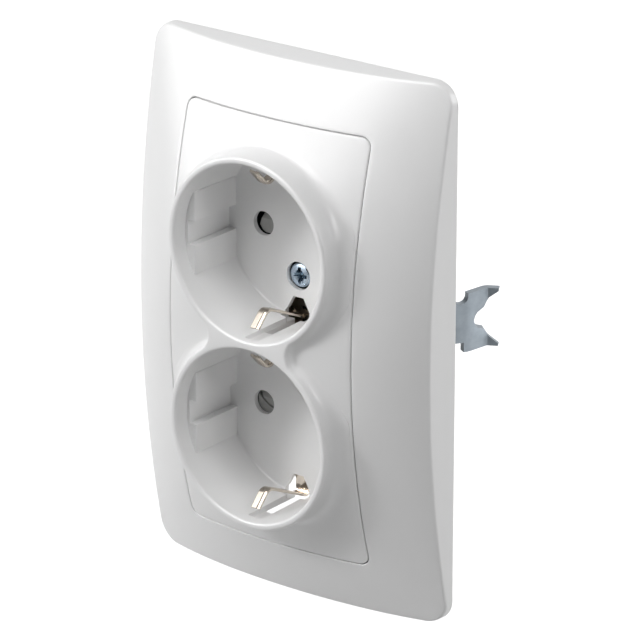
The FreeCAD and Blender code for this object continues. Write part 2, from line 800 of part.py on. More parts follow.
def contact_rail(side):
    """One pole: a rail with a two-leaf pin grip behind each well."""
    grip = pin_grip_radius + contact_thickness / 2
    mouth, foot = grip + contact_mouth, grip + contact_foot
    waist = contact_front + contact_waist
    half = [(mouth, contact_front, 0), (grip, waist, 3.0), (foot, contact_back, 0.8)]
    path = half + [(-u, v, bend) for u, v, bend in reversed(half)]

    def place(u, v, w):
        return V(pin_x + u, v, w)

    x0, x1 = rail_x - contact_thickness / 2, rail_x + contact_thickness / 2
    back = contact_back - rail_inset
    pieces = [box(x0, x1, back - rail_height, back, -well_z, well_z)]
    pieces.append(box(x0, x1, contact_front + rail_wide_front, back, -rail_wide_half, rail_wide_half))
    for z in (well_z, -well_z):
        pieces.append(sheet(path, contact_thickness, place, z - contact_half_z, z + contact_half_z))
    rail = joined(pieces)
    return rail if side > 0 else mirrored_x(rail)


def terminal_spring(x, z, half, way):
    """Push-in spring: fixed leg, bend and free leg that bites the wire."""
    bend = base_depth - spring_cover_gap
    path = [(spring_width, bend - spring_leg, 0), (spring_width, bend, 0.9), (1.2, bend, 0.7),
            (0.35, bend - spring_free_leg, 0)]

    def place(u, v, w):
        return V(x + way * u, v, z + w)

    return sheet(path, spring_thickness, place, -half, half)


def shutter(z, flip):
    """Swinging shutter: hub with a pointed arm and a round-ended arm with a curved slit."""
    back = shutter_back
    reach = arm_reach
    half = arm_half_width
    low = arm_trim - half
    tip = [(tip_start - reach, half), (tip_nose - reach, -half / 3), (2 * tip_nose - reach, low + 0.5),
           (tip_start + 0.4 - reach, low)]
    blocks = [rod(hub_radius, -hub_front, back)]
    for start, front in ((0, -hub_front), (arm_start, -shutter_front)):
        blocks.append(plate_of(outline([(-start, half)] + tip + [(-start, low)], front), back - front))
        round_end = rod(reach - box_clearance, -past, past)
        blocks.append(box(start, reach, front, back, -half, half).common(round_end))
    body = joined(blocks)
    slit = rod(slit_radius + slit_width, -past, slit_depth - hub_front, slit_x, slit_z)
    slit = slit.cut(rod(slit_radius, -past, past, slit_x, slit_z))
    body = body.cut(slit.common(box(slit_start, reach - 0.4, -past, past, -half, half)))
    corners = [(-past, -half), (-0.2, -half - 0.01), (-shutter_front - 0.02, -ramp_crest), (-past, -ramp_crest)]
    slope = Part.Face(Part.makePolygon([V(arm_start - 0.1, y, h) for y, h in corners + corners[:1]]))
    ramp = slope.extrude(V(reach, 0, 0))
    body = body.cut(ramp).cut(turned(ramp, 180))
    body = body.cut(rod(post_radius + post_clearance, -past, past))
    if flip:
        body = turned(body, 180)
    body.translate(V(0, 0, z))
    return body


def shutter_spring(z, flip):
    """Leaf spring that presses on the shutter arm."""
    path = [(10.4, 7.9, 0), (8.4, 7.6, 0.8), (6.8, 3.2, 0)]

    def place(u, v, w):
        return V(u, w, v)

    leaf = sheet(path, leaf_thickness, place, -leaf_half, leaf_half)
    if flip:
        leaf = turned(leaf, 180)
    leaf.translate(V(0, 0, z))
    return leaf


def leaning(angle):
    """Direction away from the wall face, leaned outwards by angle degrees."""
    return V(math.sin(math.radians(angle)), math.cos(math.radians(angle)), 0)


def leaned(shape):
    """Lean a tool from upright (along Y) outwards about the claw's heel."""
    shape.rotate(V(0, 0, 0), V(0, 0, 1), -claw_lean)
    shape.translate(V(claw_heel_x, claw_heel_y, 0))
    return shape


def fork_notch(fork_end):
    """Tool that cuts the fork and the horns, seen halfway between the fork and the bent tips."""
    front = [(3.5, 6.75), (2.38, 5.9), (0.54, 4.48), (-0.7, 2.5), (-2.1, 1.85)]
    edges = []
    ends = [V(u, 0, z) for u, z in front]
    other = [V(u, 0, -z) for u, z in reversed(front)]
    edges += [Part.makeLine(a, b) for a, b in zip(ends[:-1], ends[1:])]
    edges.append(Part.Arc(ends[-1], V(-3.06, 0, 0), other[0]).toShape())
    edges += [Part.makeLine(a, b) for a, b in zip(other[:-1], other[1:])]
    edges.append(Part.makeLine(other[-1], ends[0]))
    tool = Part.Face(Part.Wire(edges)).extrude(V(0, 4 * past, 0))
    tool.translate(V(0, -2 * past, 0))
    tool.rotate(V(0, 0, 0), V(0, 0, 1), 45)
    tool.translate(fork_end)
    return tool


def claw(side):
    """Spreader claw: bent strip with a foot, a notched leg, a fork and two outward horns."""
    t = claw_thickness
    leg_end = V(claw_heel_x, claw_heel_y, 0) + leaning(claw_lean) * claw_leg
    fork_end = leg_end + leaning(claw_fork_lean) * claw_fork
    tip = fork_end + leaning(claw_tip_lean) * claw_tip
    path = [(claw_heel_x, claw_heel_y, 0), (leg_end.x, leg_end.y, claw_bend),
            (fork_end.x, fork_end.y, claw_fork_bend), (tip.x, tip.y, 0)]

    def place(u, v, w):
        return V(u, v, w)

    strip = sheet(path, t, place, -claw_half_z, claw_half_z)
    heel = Part.makeCylinder(t / 2, 2 * claw_half_z, V(claw_heel_x, claw_heel_y, -claw_half_z), V(0, 0, 1))
    strip = strip.fuse(heel)
    cuts = [leaned(box(-past, past, *claw_window, -claw_window_half, claw_window_half))]
    for way in (1, -1):
        low, high = sorted((way * claw_neck_z, way * far))
        cuts.append(leaned(box(-past, past, -past, claw_neck_top, low, high)))
    cuts.append(leaned(box(-past, past, claw_neck_top + claw_barb, claw_leg - claw_shoulder, -far, -claw_neck_z)))
    level = claw_neck_z + claw_notch_radius
    notch = Part.makeCylinder(claw_notch_radius, 2 * past, V(-past, claw_notch_at, level), V(1, 0, 0))
    above = box(-past, past, claw_notch_at - claw_notch_radius, claw_notch_at + claw_notch_radius, level, far)
    cuts.append(leaned(notch.fuse(above)))
    cuts.append(fork_notch(fork_end))
    strip = strip.cut(cuts[0].multiFuse(cuts[1:]))
    foot = box(0, claw_foot, -t / 2, t / 2, -claw_neck_z, claw_neck_z)
    foot.translate(V(claw_heel_x, claw_heel_y, 0))
    slot_radius = claw_screw_radius + 0.1
    shift = claw_slot_length / 2 - slot_radius
    x = claw_screw_x
    slot = box(x - shift, x + shift, 0, base_depth, -slot_radius, slot_radius)
    slot = slot.multiFuse([rod(slot_radius, 0, base_depth, x + s, 0) for s in (shift, -shift)])
    body = joined([strip, foot]).cut(slot)
    return body if side > 0 else mirrored_x(body)


def claw_screw(side):
    """Long screw that pulls the foot of a claw."""
    return pan_screw(side * claw_screw_x, 0, -strap_thickness, claw_screw_head, claw_screw_height,
                     claw_screw_radius, claw_screw_length, claw_screw_drive)


def base_rivets():
    """Four long rivets through strap, base and rear cover."""
    rivets = []
    back = base_depth + cover_thickness
    for side in (1, -1):
        for z in (rivet_z, -rivet_z):
            x = side * rivet_x
            shank = rod(rivet_radius, -strap_thickness, back, x, z)
            front = rod(rivet_head_radius, -strap_thickness - rivet_head, -strap_thickness, x, z)
            rear = rod(rivet_head_radius, back, back + rivet_head, x, z)
            rivets.append(joined([shank, front, rear]))
    return Part.makeCompound(rivets)


save("cover_frame", cover_frame())
save("centre_plate", centre_plate())
save("plate_screw", plate_screw())
save("plate_nut", plate_nut())
save("mounting_strap", mounting_strap())
save("socket_base", socket_base())
save("rear_cover", rear_cover())
save("earth_bar", earth_bar())
save("inner_earth_clips", inner_clips())
save("clip_rivets", clip_rivets())
save("base_rivets", base_rivets())
save("terminal_spring_earth", terminal_spring(earth_leg_x - earth_spring_gap, earth_leg_z, earth_spring_half, -1))
for side, word in ((-1, "left"), (1, "right")):
    save("contact_rail_" + word, contact_rail(side))
    save("terminal_spring_" + word, terminal_spring(side * terminal_x, 0, spring_half, side))
    save("claw_" + word, claw(side))
    save("claw_screw_" + word, claw_screw(side))
for z, flip, word in ((well_z, False, "upper"), (-well_z, True, "lower")):
    save("shutter_" + word, shutter(z, flip))
    save("shutter_spring_" + word, shutter_spring(z, flip))
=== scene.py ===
"""Looks of a double type F wall socket: mouldings, earth clips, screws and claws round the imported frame."""

import math

import bpy
from mathutils import Matrix, Vector


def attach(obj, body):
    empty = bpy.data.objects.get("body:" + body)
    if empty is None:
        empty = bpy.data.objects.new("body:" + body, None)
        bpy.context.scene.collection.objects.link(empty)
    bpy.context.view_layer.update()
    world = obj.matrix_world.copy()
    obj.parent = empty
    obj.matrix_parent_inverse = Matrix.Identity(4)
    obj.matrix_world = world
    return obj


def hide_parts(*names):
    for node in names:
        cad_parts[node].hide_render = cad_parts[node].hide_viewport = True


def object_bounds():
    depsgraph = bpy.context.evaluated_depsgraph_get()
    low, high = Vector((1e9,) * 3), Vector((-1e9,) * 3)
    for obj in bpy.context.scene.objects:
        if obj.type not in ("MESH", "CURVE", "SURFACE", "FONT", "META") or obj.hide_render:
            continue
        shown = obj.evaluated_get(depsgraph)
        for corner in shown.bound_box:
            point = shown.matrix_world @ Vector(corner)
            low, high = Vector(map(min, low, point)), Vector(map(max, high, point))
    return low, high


bl_info = {
    "name": "Type F wall socket",
    "version": (1, 0, 0),
    "blender": (4, 5, 0),
    "location": "3D View > Sidebar > Socket",
    "description": "Builds the mouldings, contacts, screws and claws of a double earthed wall socket",
    "category": "Object",
}

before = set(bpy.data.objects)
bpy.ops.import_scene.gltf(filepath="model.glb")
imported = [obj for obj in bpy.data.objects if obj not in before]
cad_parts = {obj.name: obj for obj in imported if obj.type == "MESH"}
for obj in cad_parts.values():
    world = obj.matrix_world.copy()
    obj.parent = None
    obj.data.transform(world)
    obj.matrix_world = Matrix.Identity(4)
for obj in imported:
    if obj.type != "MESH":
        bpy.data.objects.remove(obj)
CAD_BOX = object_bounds()

MM = 0.001

# Outer frame, in millimetres. X is to the right, the face looks towards -Y, Z is up, the wall is Y = 0.
FRAME_HALF_X = 40.0
FRAME_HALF_Z = 61.2
FRAME_CORNER = 5.5
FRAME_WALL = 2.2
SHELL = 2.2
DRAFT = 0.055
FOOT_ROUND = 0.3

# Crowned face: height in front of the wall on the centre line and near the sides
CROWN_MID = 19.62
CROWN_MID_FALL = 11.90
CROWN_SIDE = 8.59
CROWN_SIDE_FALL = 6.93
CROWN_SIDE_X = 39.5
CROWN_FALL_Z = 60.0
CROWN_CURL = 0.462
CROWN_CURL_FALL = 0.242

# Centre plate and the step that it lies on
PLATE_HALF_X = 24.42
PLATE_HALF_Z = 48.35
PLATE_CORNER = 2.3
PLATE_GAP = 0.22
STEP_DEPTH = 3.0
STEP_WIDTH = 1.9
STEP_THICKNESS = 1.8
SKIRT = 1.5
SKIRT_CORNER = 1.2

# Wells, with their guide ribs, their pin holes and the sunk seat of the fixing screw
WELL_Z = 20.73
RIM_FRONT = 21.1
RIM_RADIUS = 21.3
RIM_ROUND = 0.6
WAIST_ROUND = 4.2
MOUTH_RADIUS = 19.75
FLOOR_RADIUS = 19.45
FLOOR_FRONT = 2.84
FLOOR_BACK = 1.64
FLOOR_ROUND = 0.5
RIB_FACE_X = 17.0
RIB_END_X = 21.0
RIB_GROOVE_X = 18.95
RIB_HALF = 9.45
RIB_GROOVE_HALF = 2.75
RIB_FRONT = 17.1
RIB_ROUND = 0.35
PIN_X = 9.5
PIN_HOLE = 2.75
RECESS_RADIUS = 3.2
SCREW_Z = 10.73

# Earth clips: thickness, half widths, where they widen and end, the lean of their two facets, the line
# pressed between them, and their paths as (distance from the well axis, depth, bend radius)
CLIP_THICKNESS = 0.55
CLIP_HALF = 1.2
CLIP_ROOT_HALF = 1.7
CLIP_WIDE_FROM = -6.0
CLIP_NARROW_FROM = -12.0
CLIP_CUT = -2.5
CLIP_RIDGE = 0.5
CLIP_LEAN_LEFT = 0.13
CLIP_LEAN_RIGHT = 0.2
CLIP_LINE_DEPTH = 0.24
CLIP_LINE_SLOPE = 1.7
CLIP_EDGE = 0.12
OUTER_CLIP = ((17.6, -18.1, 0), (13.85, -14.5, 2.2), (16.1, -9.4, 8.0), (20.45, -0.25, 0))
INNER_CLIP = ((17.5, -18.1, 0), (13.85, -14.5, 2.2), (16.1, -9.2, 8.0), (18.75, -3.6, 3.0),
              (19.2, 2.275, 0))

# Slots of the earth clips: how far in front of the wall they begin, and how far from the well axis the groove
# and the opening in it reach. The inner slots meet in the web between the wells.
OUTER_SLOT = (18.2, 20.75, RIM_RADIUS + 1.0)
INNER_SLOT = (19.2, WELL_Z - 0.2, WELL_Z + 0.1)
SLOT_FROM = 17.0
SLOT_HALF = 1.9
SLOT_ROUND = 0.25
GROOVE_BACK = -6.5
OPENING_Y = (-12.4, 0.5)

# The slot in the well's floor: its corners as (x, distance from the well axis), and its two ends along Y
FLOOR_SLOT = ((-1.35, 14.85), (1.35, 14.85), (3.0, 17.85), (3.0, 20.45), (-3.6, 20.45), (-3.6, 18.4),
              (-3.1, 18.0))
FLOOR_SLOT_Y = (-4.6, 0.6)

# Stiffening ribs inside the frame
RIB_ROWS_Z = (12.0, 36.0)
RIB_ROWS_X = (14.0,)
RIB_THICKNESS = 1.2
RIB_BACK = 3.0
RIB_PLATE_GAP = 0.4

# Fixing screw: pan head with a cross recess and a dimple. Painted shade darkens its drive, from none to full
# between the next two depths behind the front, within the radius after them of the axis.
HEAD_RADIUS = 2.75
HEAD_FRONT = 2.55
HEAD_SEAT = 0.8
HEAD_DOME = 0.3
HEAD_ROUND = 0.5
SHANK_RADIUS = 1.45
SHANK_END = 9.2
DRIVE_RADIUS = 2.05
DRIVE_SLOT = 0.85
DRIVE_DEPTH = 1.55
DRIVE_TAPER = ((1.08, 1.12), (0.75, 0.42))
DRIVE_CONE = (1.625, 0.35)
DRIVE_ROUND = 0.1
DRIVE_SHADE_FROM = 0.25
DRIVE_SHADE_FULL = 0.6
DRIVE_SHADE_RADIUS = HEAD_RADIUS - 0.3
DIMPLE = (1.2, -1.3)
DIMPLE_RADIUS = 0.55

# Meshes: columns along the sides and round the corners of the frame, columns of a well, how often a point is
# settled on the crowned face, how near counts as touching in mm, and the turn in degrees that counts as flat
COLUMNS_TALL = 40
COLUMNS_WIDE = 26
COLUMNS_BEND = 12
FRAME_COLUMNS = 2 * (COLUMNS_TALL + COLUMNS_WIDE + 2 * COLUMNS_BEND)
WELL_COLUMNS = 160
SETTLE = 8
NEAR = 0.002
FLAT = 0.4

# Lights: name, direction, distance and size in metres, power in watts, and whether matt surfaces catch them
LIGHTS = (
    ("key", (-0.6, -0.65, 0.48), 1.35, 0.25, 4.9, True),
    ("left", (-0.88, -0.46, 0.15), 1.35, 0.8, 4.3, True),
    ("right_back", (0.75, 0.65, 0.3), 1.35, 0.8, 7.6, True),
    ("overhead", (-0.1, -0.45, 0.85), 0.28, 0.15, 0.21, True),
    ("front_top", (-0.15, -0.75, 0.6), 0.35, 0.15, 0.18, True),
    ("right_top", (0.8, -0.3, 0.55), 0.45, 0.15, 0.43, True),
    ("sheen", (-0.6, -0.75, 0.3), 0.7, 0.7, 4.5, False),
    ("sky", (-0.35, -0.4, 0.8), 0.7, 0.9, 4.0, False),
)

# Glow of the paper and of the air behind it: where along Y it begins and is full, in mm and as a direction
PAPER_GLOW = (-160.0, -20.0)
AIR_GLOW = (-0.3, 0.5)

# Camera: its place in metres, the direction from the object to it, its roll in degrees and its lens in mm
CAMERA_PLACE = (0.55907, -0.7214, 0.3399)
CAMERA_BACK = (0.5714, -0.7426, 0.3494)
CAMERA_ROLL = 0.057
CAMERA_LENS = 252.1
CAMERA_SENSOR = 36.0


# Settings that a user would change

class SocketMouldings(bpy.types.PropertyGroup):
    """Sizes of the white mouldings."""

    edge_round: bpy.props.FloatProperty(
        name="Front edge", description="Round of the frame's front edge, in mm",
        default=0.85, min=0.2, max=1.5)
    gap_round: bpy.props.FloatProperty(
        name="Gap edges", description="Round along the gap of the centre plate, in mm",
        default=0.22, min=0.05, max=0.6)
    flare_end: bpy.props.FloatProperty(
        name="Flare at the ends", description="Foot round of the collar above and below the wells, in mm",
        default=0.9, min=0.3, max=3.0)
    flare_side: bpy.props.FloatProperty(
        name="Flare at the sides", description="Foot round of the collar beside the wells, in mm",
        default=5.0, min=0.3, max=6.0)


class SocketFinishes(bpy.types.PropertyGroup):
    """Colours of the main materials."""

    white: bpy.props.StringProperty(
        name="Mouldings", description="sRGB colour of the white mouldings", default="#F2F2F2")
    zinc: bpy.props.StringProperty(
        name="Zinc", description="sRGB colour of the zinc-plated steel", default="#949CA3")
    nickel: bpy.props.StringProperty(
        name="Nickel", description="sRGB colour of the nickel-plated earth clips", default="#D2C8BC")


# Helpers for shapes

def crown(x, z):
    """Height of the crowned face in front of the wall."""
    x2, z2 = (x / CROWN_SIDE_X) ** 2, (z / CROWN_FALL_Z) ** 2
    middle = CROWN_MID - CROWN_MID_FALL * z2
    drop = middle - (CROWN_SIDE - CROWN_SIDE_FALL * z2)
    curled = drop * (CROWN_CURL - CROWN_CURL_FALL * z2)
    return middle - (drop - curled) * x2 - curled * x2 * x2


def on_crown(x, z, lift=0.0):
    """The point of the crowned face at x, z, moved back by lift."""
    return Vector((x, lift - crown(x, z), z))


def over_crown(start, stop, shares, lift=0.0):
    """Points at those shares of the way between two spots, laid on the crowned face moved back by lift."""
    return [on_crown(spot.x, spot.z, lift) for spot in (start.lerp(stop, share) for share in shares)]


def along_crown(point, out):
    """Unit direction on the crowned face, seen from the front in direction out."""
    step = 0.05
    ahead = crown(point.x + out.x * step, point.z + out.z * step) - crown(point.x, point.z)
    return Vector((out.x, -ahead / step, out.z)).normalized()


def rounded(corner, before, after, radius, steps):
    """Points of the arc of that radius between two unit directions that meet in a corner."""
    turn = before.angle(after)
    reach = radius * math.tan(turn / 2)
    start, stop, weight = corner - before * reach, corner + after * reach, math.cos(turn / 2)
    points = []
    for k in range(steps + 1):
        s = k / steps
        a, b, c = (1 - s) ** 2, 2 * weight * s * (1 - s), s * s
        points.append((start * a + corner * b + stop * c) / (a + b + c))
    return points


def rectangle(half_x, half_z, radius, column):
    """Point and outward direction in one column of a rectangle with round corners, seen from the front."""
    tall, wide, bend = COLUMNS_TALL, COLUMNS_WIDE, COLUMNS_BEND
    column, flip = column % FRAME_COLUMNS, 1
    if column >= FRAME_COLUMNS // 2:
        column, flip = column - FRAME_COLUMNS // 2, -1
    if column < tall:
        share = column / tall * 2 - 1
        x, z, out = half_x, share * (half_z - radius), (1, 0)
    elif column < tall + bend:
        angle = (column - tall) / bend * math.pi / 2
        out = (math.cos(angle), math.sin(angle))
        x, z = half_x - radius + radius * out[0], half_z - radius + radius * out[1]
    elif column < tall + bend + wide:
        share = 1 - (column - tall - bend) / wide * 2
        x, z, out = share * (half_x - radius), half_z, (0, 1)
    else:
        angle = math.pi / 2 + (column - tall - bend - wide) / bend * math.pi / 2
        out = (math.cos(angle), math.sin(angle))
        x, z = radius - half_x + radius * out[0], half_z - radius + radius * out[1]
    return Vector((flip * x, 0, flip * z)), Vector((flip * out[0], 0, flip * out[1]))


def deselect():
    """Nothing selected, so that the next operator acts on its own piece alone."""
    if bpy.context.object and bpy.context.object.mode != "OBJECT":
        bpy.ops.object.mode_set(mode="OBJECT")
    bpy.ops.object.select_all(action="DESELECT")


def only(piece):
    """Select one piece and make it active."""
    deselect()
    piece.select_set(True)
    bpy.context.view_layer.objects.active = piece


def in_edit_mode(piece, *steps):
    """Run edit-mode operators on the whole piece."""
    only(piece)
    bpy.ops.object.mode_set(mode="EDIT")
    bpy.ops.mesh.select_all(action="SELECT")
    for step in steps:
        step()
    bpy.ops.object.mode_set(mode="OBJECT")


def merge():
    """Make points in one place one point."""
    bpy.ops.mesh.remove_doubles(threshold=2e-6)


def outwards():
    """Turn every face outwards."""
    bpy.ops.mesh.normals_make_consistent(inside=False)


def close_ends():
    """Fill every open end."""
    bpy.ops.mesh.fill_holes(sides=0)


def level_faces():
    """Make the facets of each flat face one face."""
    bpy.ops.mesh.dissolve_limited(angle_limit=math.radians(FLAT))


def round_edges(width, segments=3):
    """Round the selected edges by width, in mm."""
    bpy.ops.mesh.bevel(offset=width * MM, segments=segments, affect="EDGES")


def on_edges(piece, step, test, open_only=True):
    """Run an edit-mode operator on the edges whose two ends, in mm, pass the test: on all of them, or on
    those that are open."""
    only(piece)
    mesh = piece.data
    for part in (mesh.vertices, mesh.edges, mesh.polygons):
        part.foreach_set("select", [False] * len(part))
    faces = {}
    for face in mesh.polygons:
        for key in face.edge_keys:
            faces[key] = faces.get(key, 0) + 1
    for edge in mesh.edges:
        wanted = faces.get(edge.key, 0) == 1 or not open_only
        edge.select = wanted and test(*[mesh.vertices[i].co / MM for i in edge.vertices])
    bpy.context.tool_settings.mesh_select_mode = (False, True, False)
    bpy.ops.object.mode_set(mode="EDIT")
    step()
    bpy.ops.object.mode_set(mode="OBJECT")


def in_plane(y, side=0):
    """Test for on_edges: both ends lie in the plane Y = y, and by the sign of side above or below Z = 0."""
    return lambda *ends: all(abs(end.y - y) < NEAR and end.z * side >= 0 for end in ends)


def laid(name, columns, closed=True):
    """A grid laid over a form: columns of points in mm. Closed joins the last column to the first."""
    wide = len(columns) if closed else len(columns) - 1
    tall = len(columns[0]) - 1
    deselect()
    bpy.ops.mesh.primitive_grid_add(x_subdivisions=wide, y_subdivisions=tall, size=1)
    piece = bpy.context.object
    piece.name = piece.data.name = name
    for vertex in piece.data.vertices:
        i, j = round((vertex.co.x + 0.5) * wide), round((vertex.co.y + 0.5) * tall)
        vertex.co = columns[i % len(columns)][j] * MM
    in_edit_mode(piece, merge)
    return piece


def joined(name, pieces):
    """Several objects made one, with what meets merged."""
    deselect()
    for piece in pieces:
        piece.select_set(True)
    bpy.context.view_layer.objects.active = pieces[0]
    if len(pieces) > 1:
        bpy.ops.object.join()
    piece = bpy.context.object
    piece.name = piece.data.name = name
    in_edit_mode(piece, merge, outwards)
    return piece


def apply_modifier(piece, kind, **settings):
    """Add a modifier with its settings and apply it."""
    only(piece)
    modifier = piece.modifiers.new(kind.title(), kind)
    for key, value in settings.items():
        setattr(modifier, key, value)
    bpy.ops.object.modifier_apply(modifier=modifier.name)


def cut_with(piece, tool, operation="DIFFERENCE"):
    """Cut the tool out of the piece, or add it, and remove the tool."""
    apply_modifier(piece, "BOOLEAN", object=tool, operation=operation, solver="EXACT", use_self=False)
    bpy.data.objects.remove(tool)


def block(low, high, bevel=0.0):
    """A block between two corners, in mm, with its edges rounded."""
    deselect()
    bpy.ops.mesh.primitive_cube_add(size=1)
    piece = bpy.context.object
    for vertex in piece.data.vertices:
        vertex.co = Vector([(a + b) / 2 + (b - a) * c for a, b, c in zip(low, high, vertex.co)]) * MM
    if bevel:
        in_edit_mode(piece, lambda: round_edges(bevel))
    return piece


def bar(radius, y0, y1, x=0.0, z=0.0, sides=64, bevel=0.0):
    """A round bar along Y, in mm, with its ends rounded."""
    deselect()
    bpy.ops.mesh.primitive_cylinder_add(
        vertices=sides, radius=radius * MM, depth=(y1 - y0) * MM,
        location=(x * MM, (y0 + y1) / 2 * MM, z * MM), rotation=(math.pi / 2, 0, 0))
    bpy.ops.object.transform_apply(location=True, rotation=True, scale=True)
    piece = bpy.context.object
    if bevel:
        on_edges(piece, lambda: round_edges(bevel), lambda a, b: abs(a.y - b.y) < NEAR, open_only=False)
    return piece


def along(path, steps=14):
    """Points of a bent path with its corners rounded; a corner is a point and its bend radius."""
    spots = [Vector((0, y, u)) for u, y, bend in path]
    points = [spots[0]]
    for k in range(1, len(path) - 1):
        before = (spots[k] - spots[k - 1]).normalized()
        after = (spots[k + 1] - spots[k]).normalized()
        points += rounded(spots[k], before, after, path[k][2], steps)
    return points + [spots[-1]]


def copy_of(node, name, *steps):
    """A merged copy of a CAD node, taken through more edit-mode steps."""
    deselect()
    piece = bpy.data.objects.new(name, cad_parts[node].data.copy())
    bpy.context.scene.collection.objects.link(piece)
    in_edit_mode(piece, merge, *steps)
    return piece


def ease(piece, width, angle):
    """Ease the edges that turn by more than angle, in degrees, by width, in mm."""
    apply_modifier(piece, "BEVEL", width=width * MM, segments=2, limit_method="ANGLE",
                   angle_limit=math.radians(angle), use_clamp_overlap=True)


def done(piece, material, nodes, body="socket", sharp=35.0):
    """Shade the piece, give it its material and hang it on its body in place of the CAD nodes."""
    only(piece)
    bpy.ops.object.transform_apply(location=True, rotation=True, scale=True)
    bpy.ops.object.shade_smooth_by_angle(angle=math.radians(sharp))
    piece.data.materials.clear()
    piece.data.materials.append(material)
    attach(piece, body)
    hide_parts(*nodes)


def done_eased(node, width, material, body="socket"):
    """Finish a copy of a CAD node whose sharp edges are eased by width, in mm."""
    piece = copy_of(node, node + "_eased", level_faces)
    ease(piece, width, 32)
    done(piece, material, [node], body, 20)


# Helpers for materials

def linear(hex_colour):
    """Linear colour of an sRGB hex value."""
    digits = hex_colour.lstrip("#")
    values = [int(digits[i:i + 2], 16) / 255 for i in (0, 2, 4)]
    return tuple(v / 12.92 if v <= 0.04045 else ((v + 0.055) / 1.055) ** 2.4 for v in values) + (1.0,)


def connect(tree, made, *numbered, **named):
    """Set or link a node's inputs, by number or by name. Of several with one name, the one in use counts."""
    pairs = list(zip(made.inputs, numbered))
    for name, value in named.items():
        same = [socket for socket in made.inputs if socket.name == name.replace("_", " ")]
        pairs.append(([socket for socket in same if socket.enabled][0], value))
    for socket, value in pairs:
        if isinstance(value, bpy.types.NodeSocket):
            tree.links.new(value, socket)
        else:
            socket.default_value = value


def add_node(tree, kind, settings=None, *numbered, **named):
    """Add a node, set its properties, and set or link its inputs."""
    made = tree.nodes.new(kind)
    for key, value in (settings or {}).items():
        setattr(made, key, value)
    connect(tree, made, *numbered, **named)
    return made


def result(made):
    """The output of a node that is in use."""
    return [socket for socket in made.outputs if socket.enabled][0]


def new_material(name):
    """An empty material with its shader and Object coordinates in mm."""
    material = bpy.data.materials.new(name)
    material.use_nodes = True
    tree = material.node_tree
    tree.nodes.clear()
    shader = add_node(tree, "ShaderNodeBsdfPrincipled")
    add_node(tree, "ShaderNodeOutputMaterial", Surface=shader.outputs["BSDF"])
    place = add_node(tree, "ShaderNodeTexCoord").outputs["Object"]
    in_mm = add_node(tree, "ShaderNodeVectorMath", {"operation": "SCALE"}, Vector=place, Scale=1 / MM)
    return material, tree, shader, in_mm.outputs["Vector"]


def patches(tree, place, size_mm, detail, low=0.0, high=1.0):
    """Soft patches of size_mm, in which a value wanders between low and high; noise keeps mostly between a
    quarter and three quarters of its range."""
    grain = add_node(tree, "ShaderNodeTexNoise", Vector=place, Scale=1 / size_mm, Detail=detail)
    spread = add_node(tree, "ShaderNodeMapRange", Value=grain.outputs["Fac"], From_Min=0.25, From_Max=0.75,
                      To_Min=low, To_Max=high)
    return spread.outputs["Result"]


def drifting(tree, place, hex_colour, share, size_mm, detail):
    """A colour that drifts in soft patches to that share of its own brightness."""
    colour = linear(hex_colour)
    other = tuple(c * share for c in colour[:3]) + (1.0,)
    return result(add_node(tree, "ShaderNodeMix", {"data_type": "RGBA"}, A=colour, B=other,
                           Factor=patches(tree, place, size_mm, detail)))


def relief(tree, place, size_mm, detail, strength, height_mm):
    """Normal of a surface with soft lumps of size_mm."""
    lumps = patches(tree, place, size_mm, detail)
    made = add_node(tree, "ShaderNodeBump", Height=lumps, Strength=strength, Distance=height_mm * MM)
    return made.outputs["Normal"]


def moulded_white(name, hex_colour):
    """Polycarbonate from a polished tool: satin gloss, faintly uneven where the melt has flowed."""
    material, tree, shader, place = new_material(name)
    connect(tree, shader, IOR=1.52,
            Base_Color=drifting(tree, place, hex_colour, 0.985, 9.0, 3.0),
            Roughness=patches(tree, place, 5.0, 3.0, 0.28, 0.32),
            Normal=relief(tree, place, 3.0, 1.0, 0.05, 0.02))
    return material


def moulded_dark(name, hex_colour, roughness):
    """Glass-filled polyamide from a spark-eroded tool: matt, with a fine grain that is drawn at 0.22 mm,
    coarser than the real one, so that it shows."""
    material, tree, shader, place = new_material(name)
    connect(tree, shader, IOR=1.55,
            Base_Color=drifting(tree, place, hex_colour, 1.25, 3.0, 4.0),
            Roughness=patches(tree, place, 1.2, 3.0, roughness - 0.06, roughness + 0.08),
            Normal=relief(tree, place, 0.22, 3.0, 0.35, 0.03))
    return material


def worked_metal(name, hex_colour, roughness, grain_mm=0.35, streak=6.0):
    """Rolled sheet or turned steel, bare or plated: a faint cloud in its sheen, and a grain that rolling
    draws out along Y. Real grain is finer, and is drawn at some tenths of a millimetre so that it shows."""
    material, tree, shader, place = new_material(name)
    drawn = result(add_node(tree, "ShaderNodeMapping", Vector=place, Scale=(1.0, 1.0 / streak, 1.0)))
    connect(tree, shader, Metallic=1.0,
            Base_Color=drifting(tree, place, hex_colour, 0.82, 2.6, 4.0),
            Roughness=patches(tree, drawn, grain_mm, 4.0, roughness - 0.05, roughness + 0.09),
            Normal=relief(tree, drawn, grain_mm, 3.0, 0.15, 0.01))
    return material


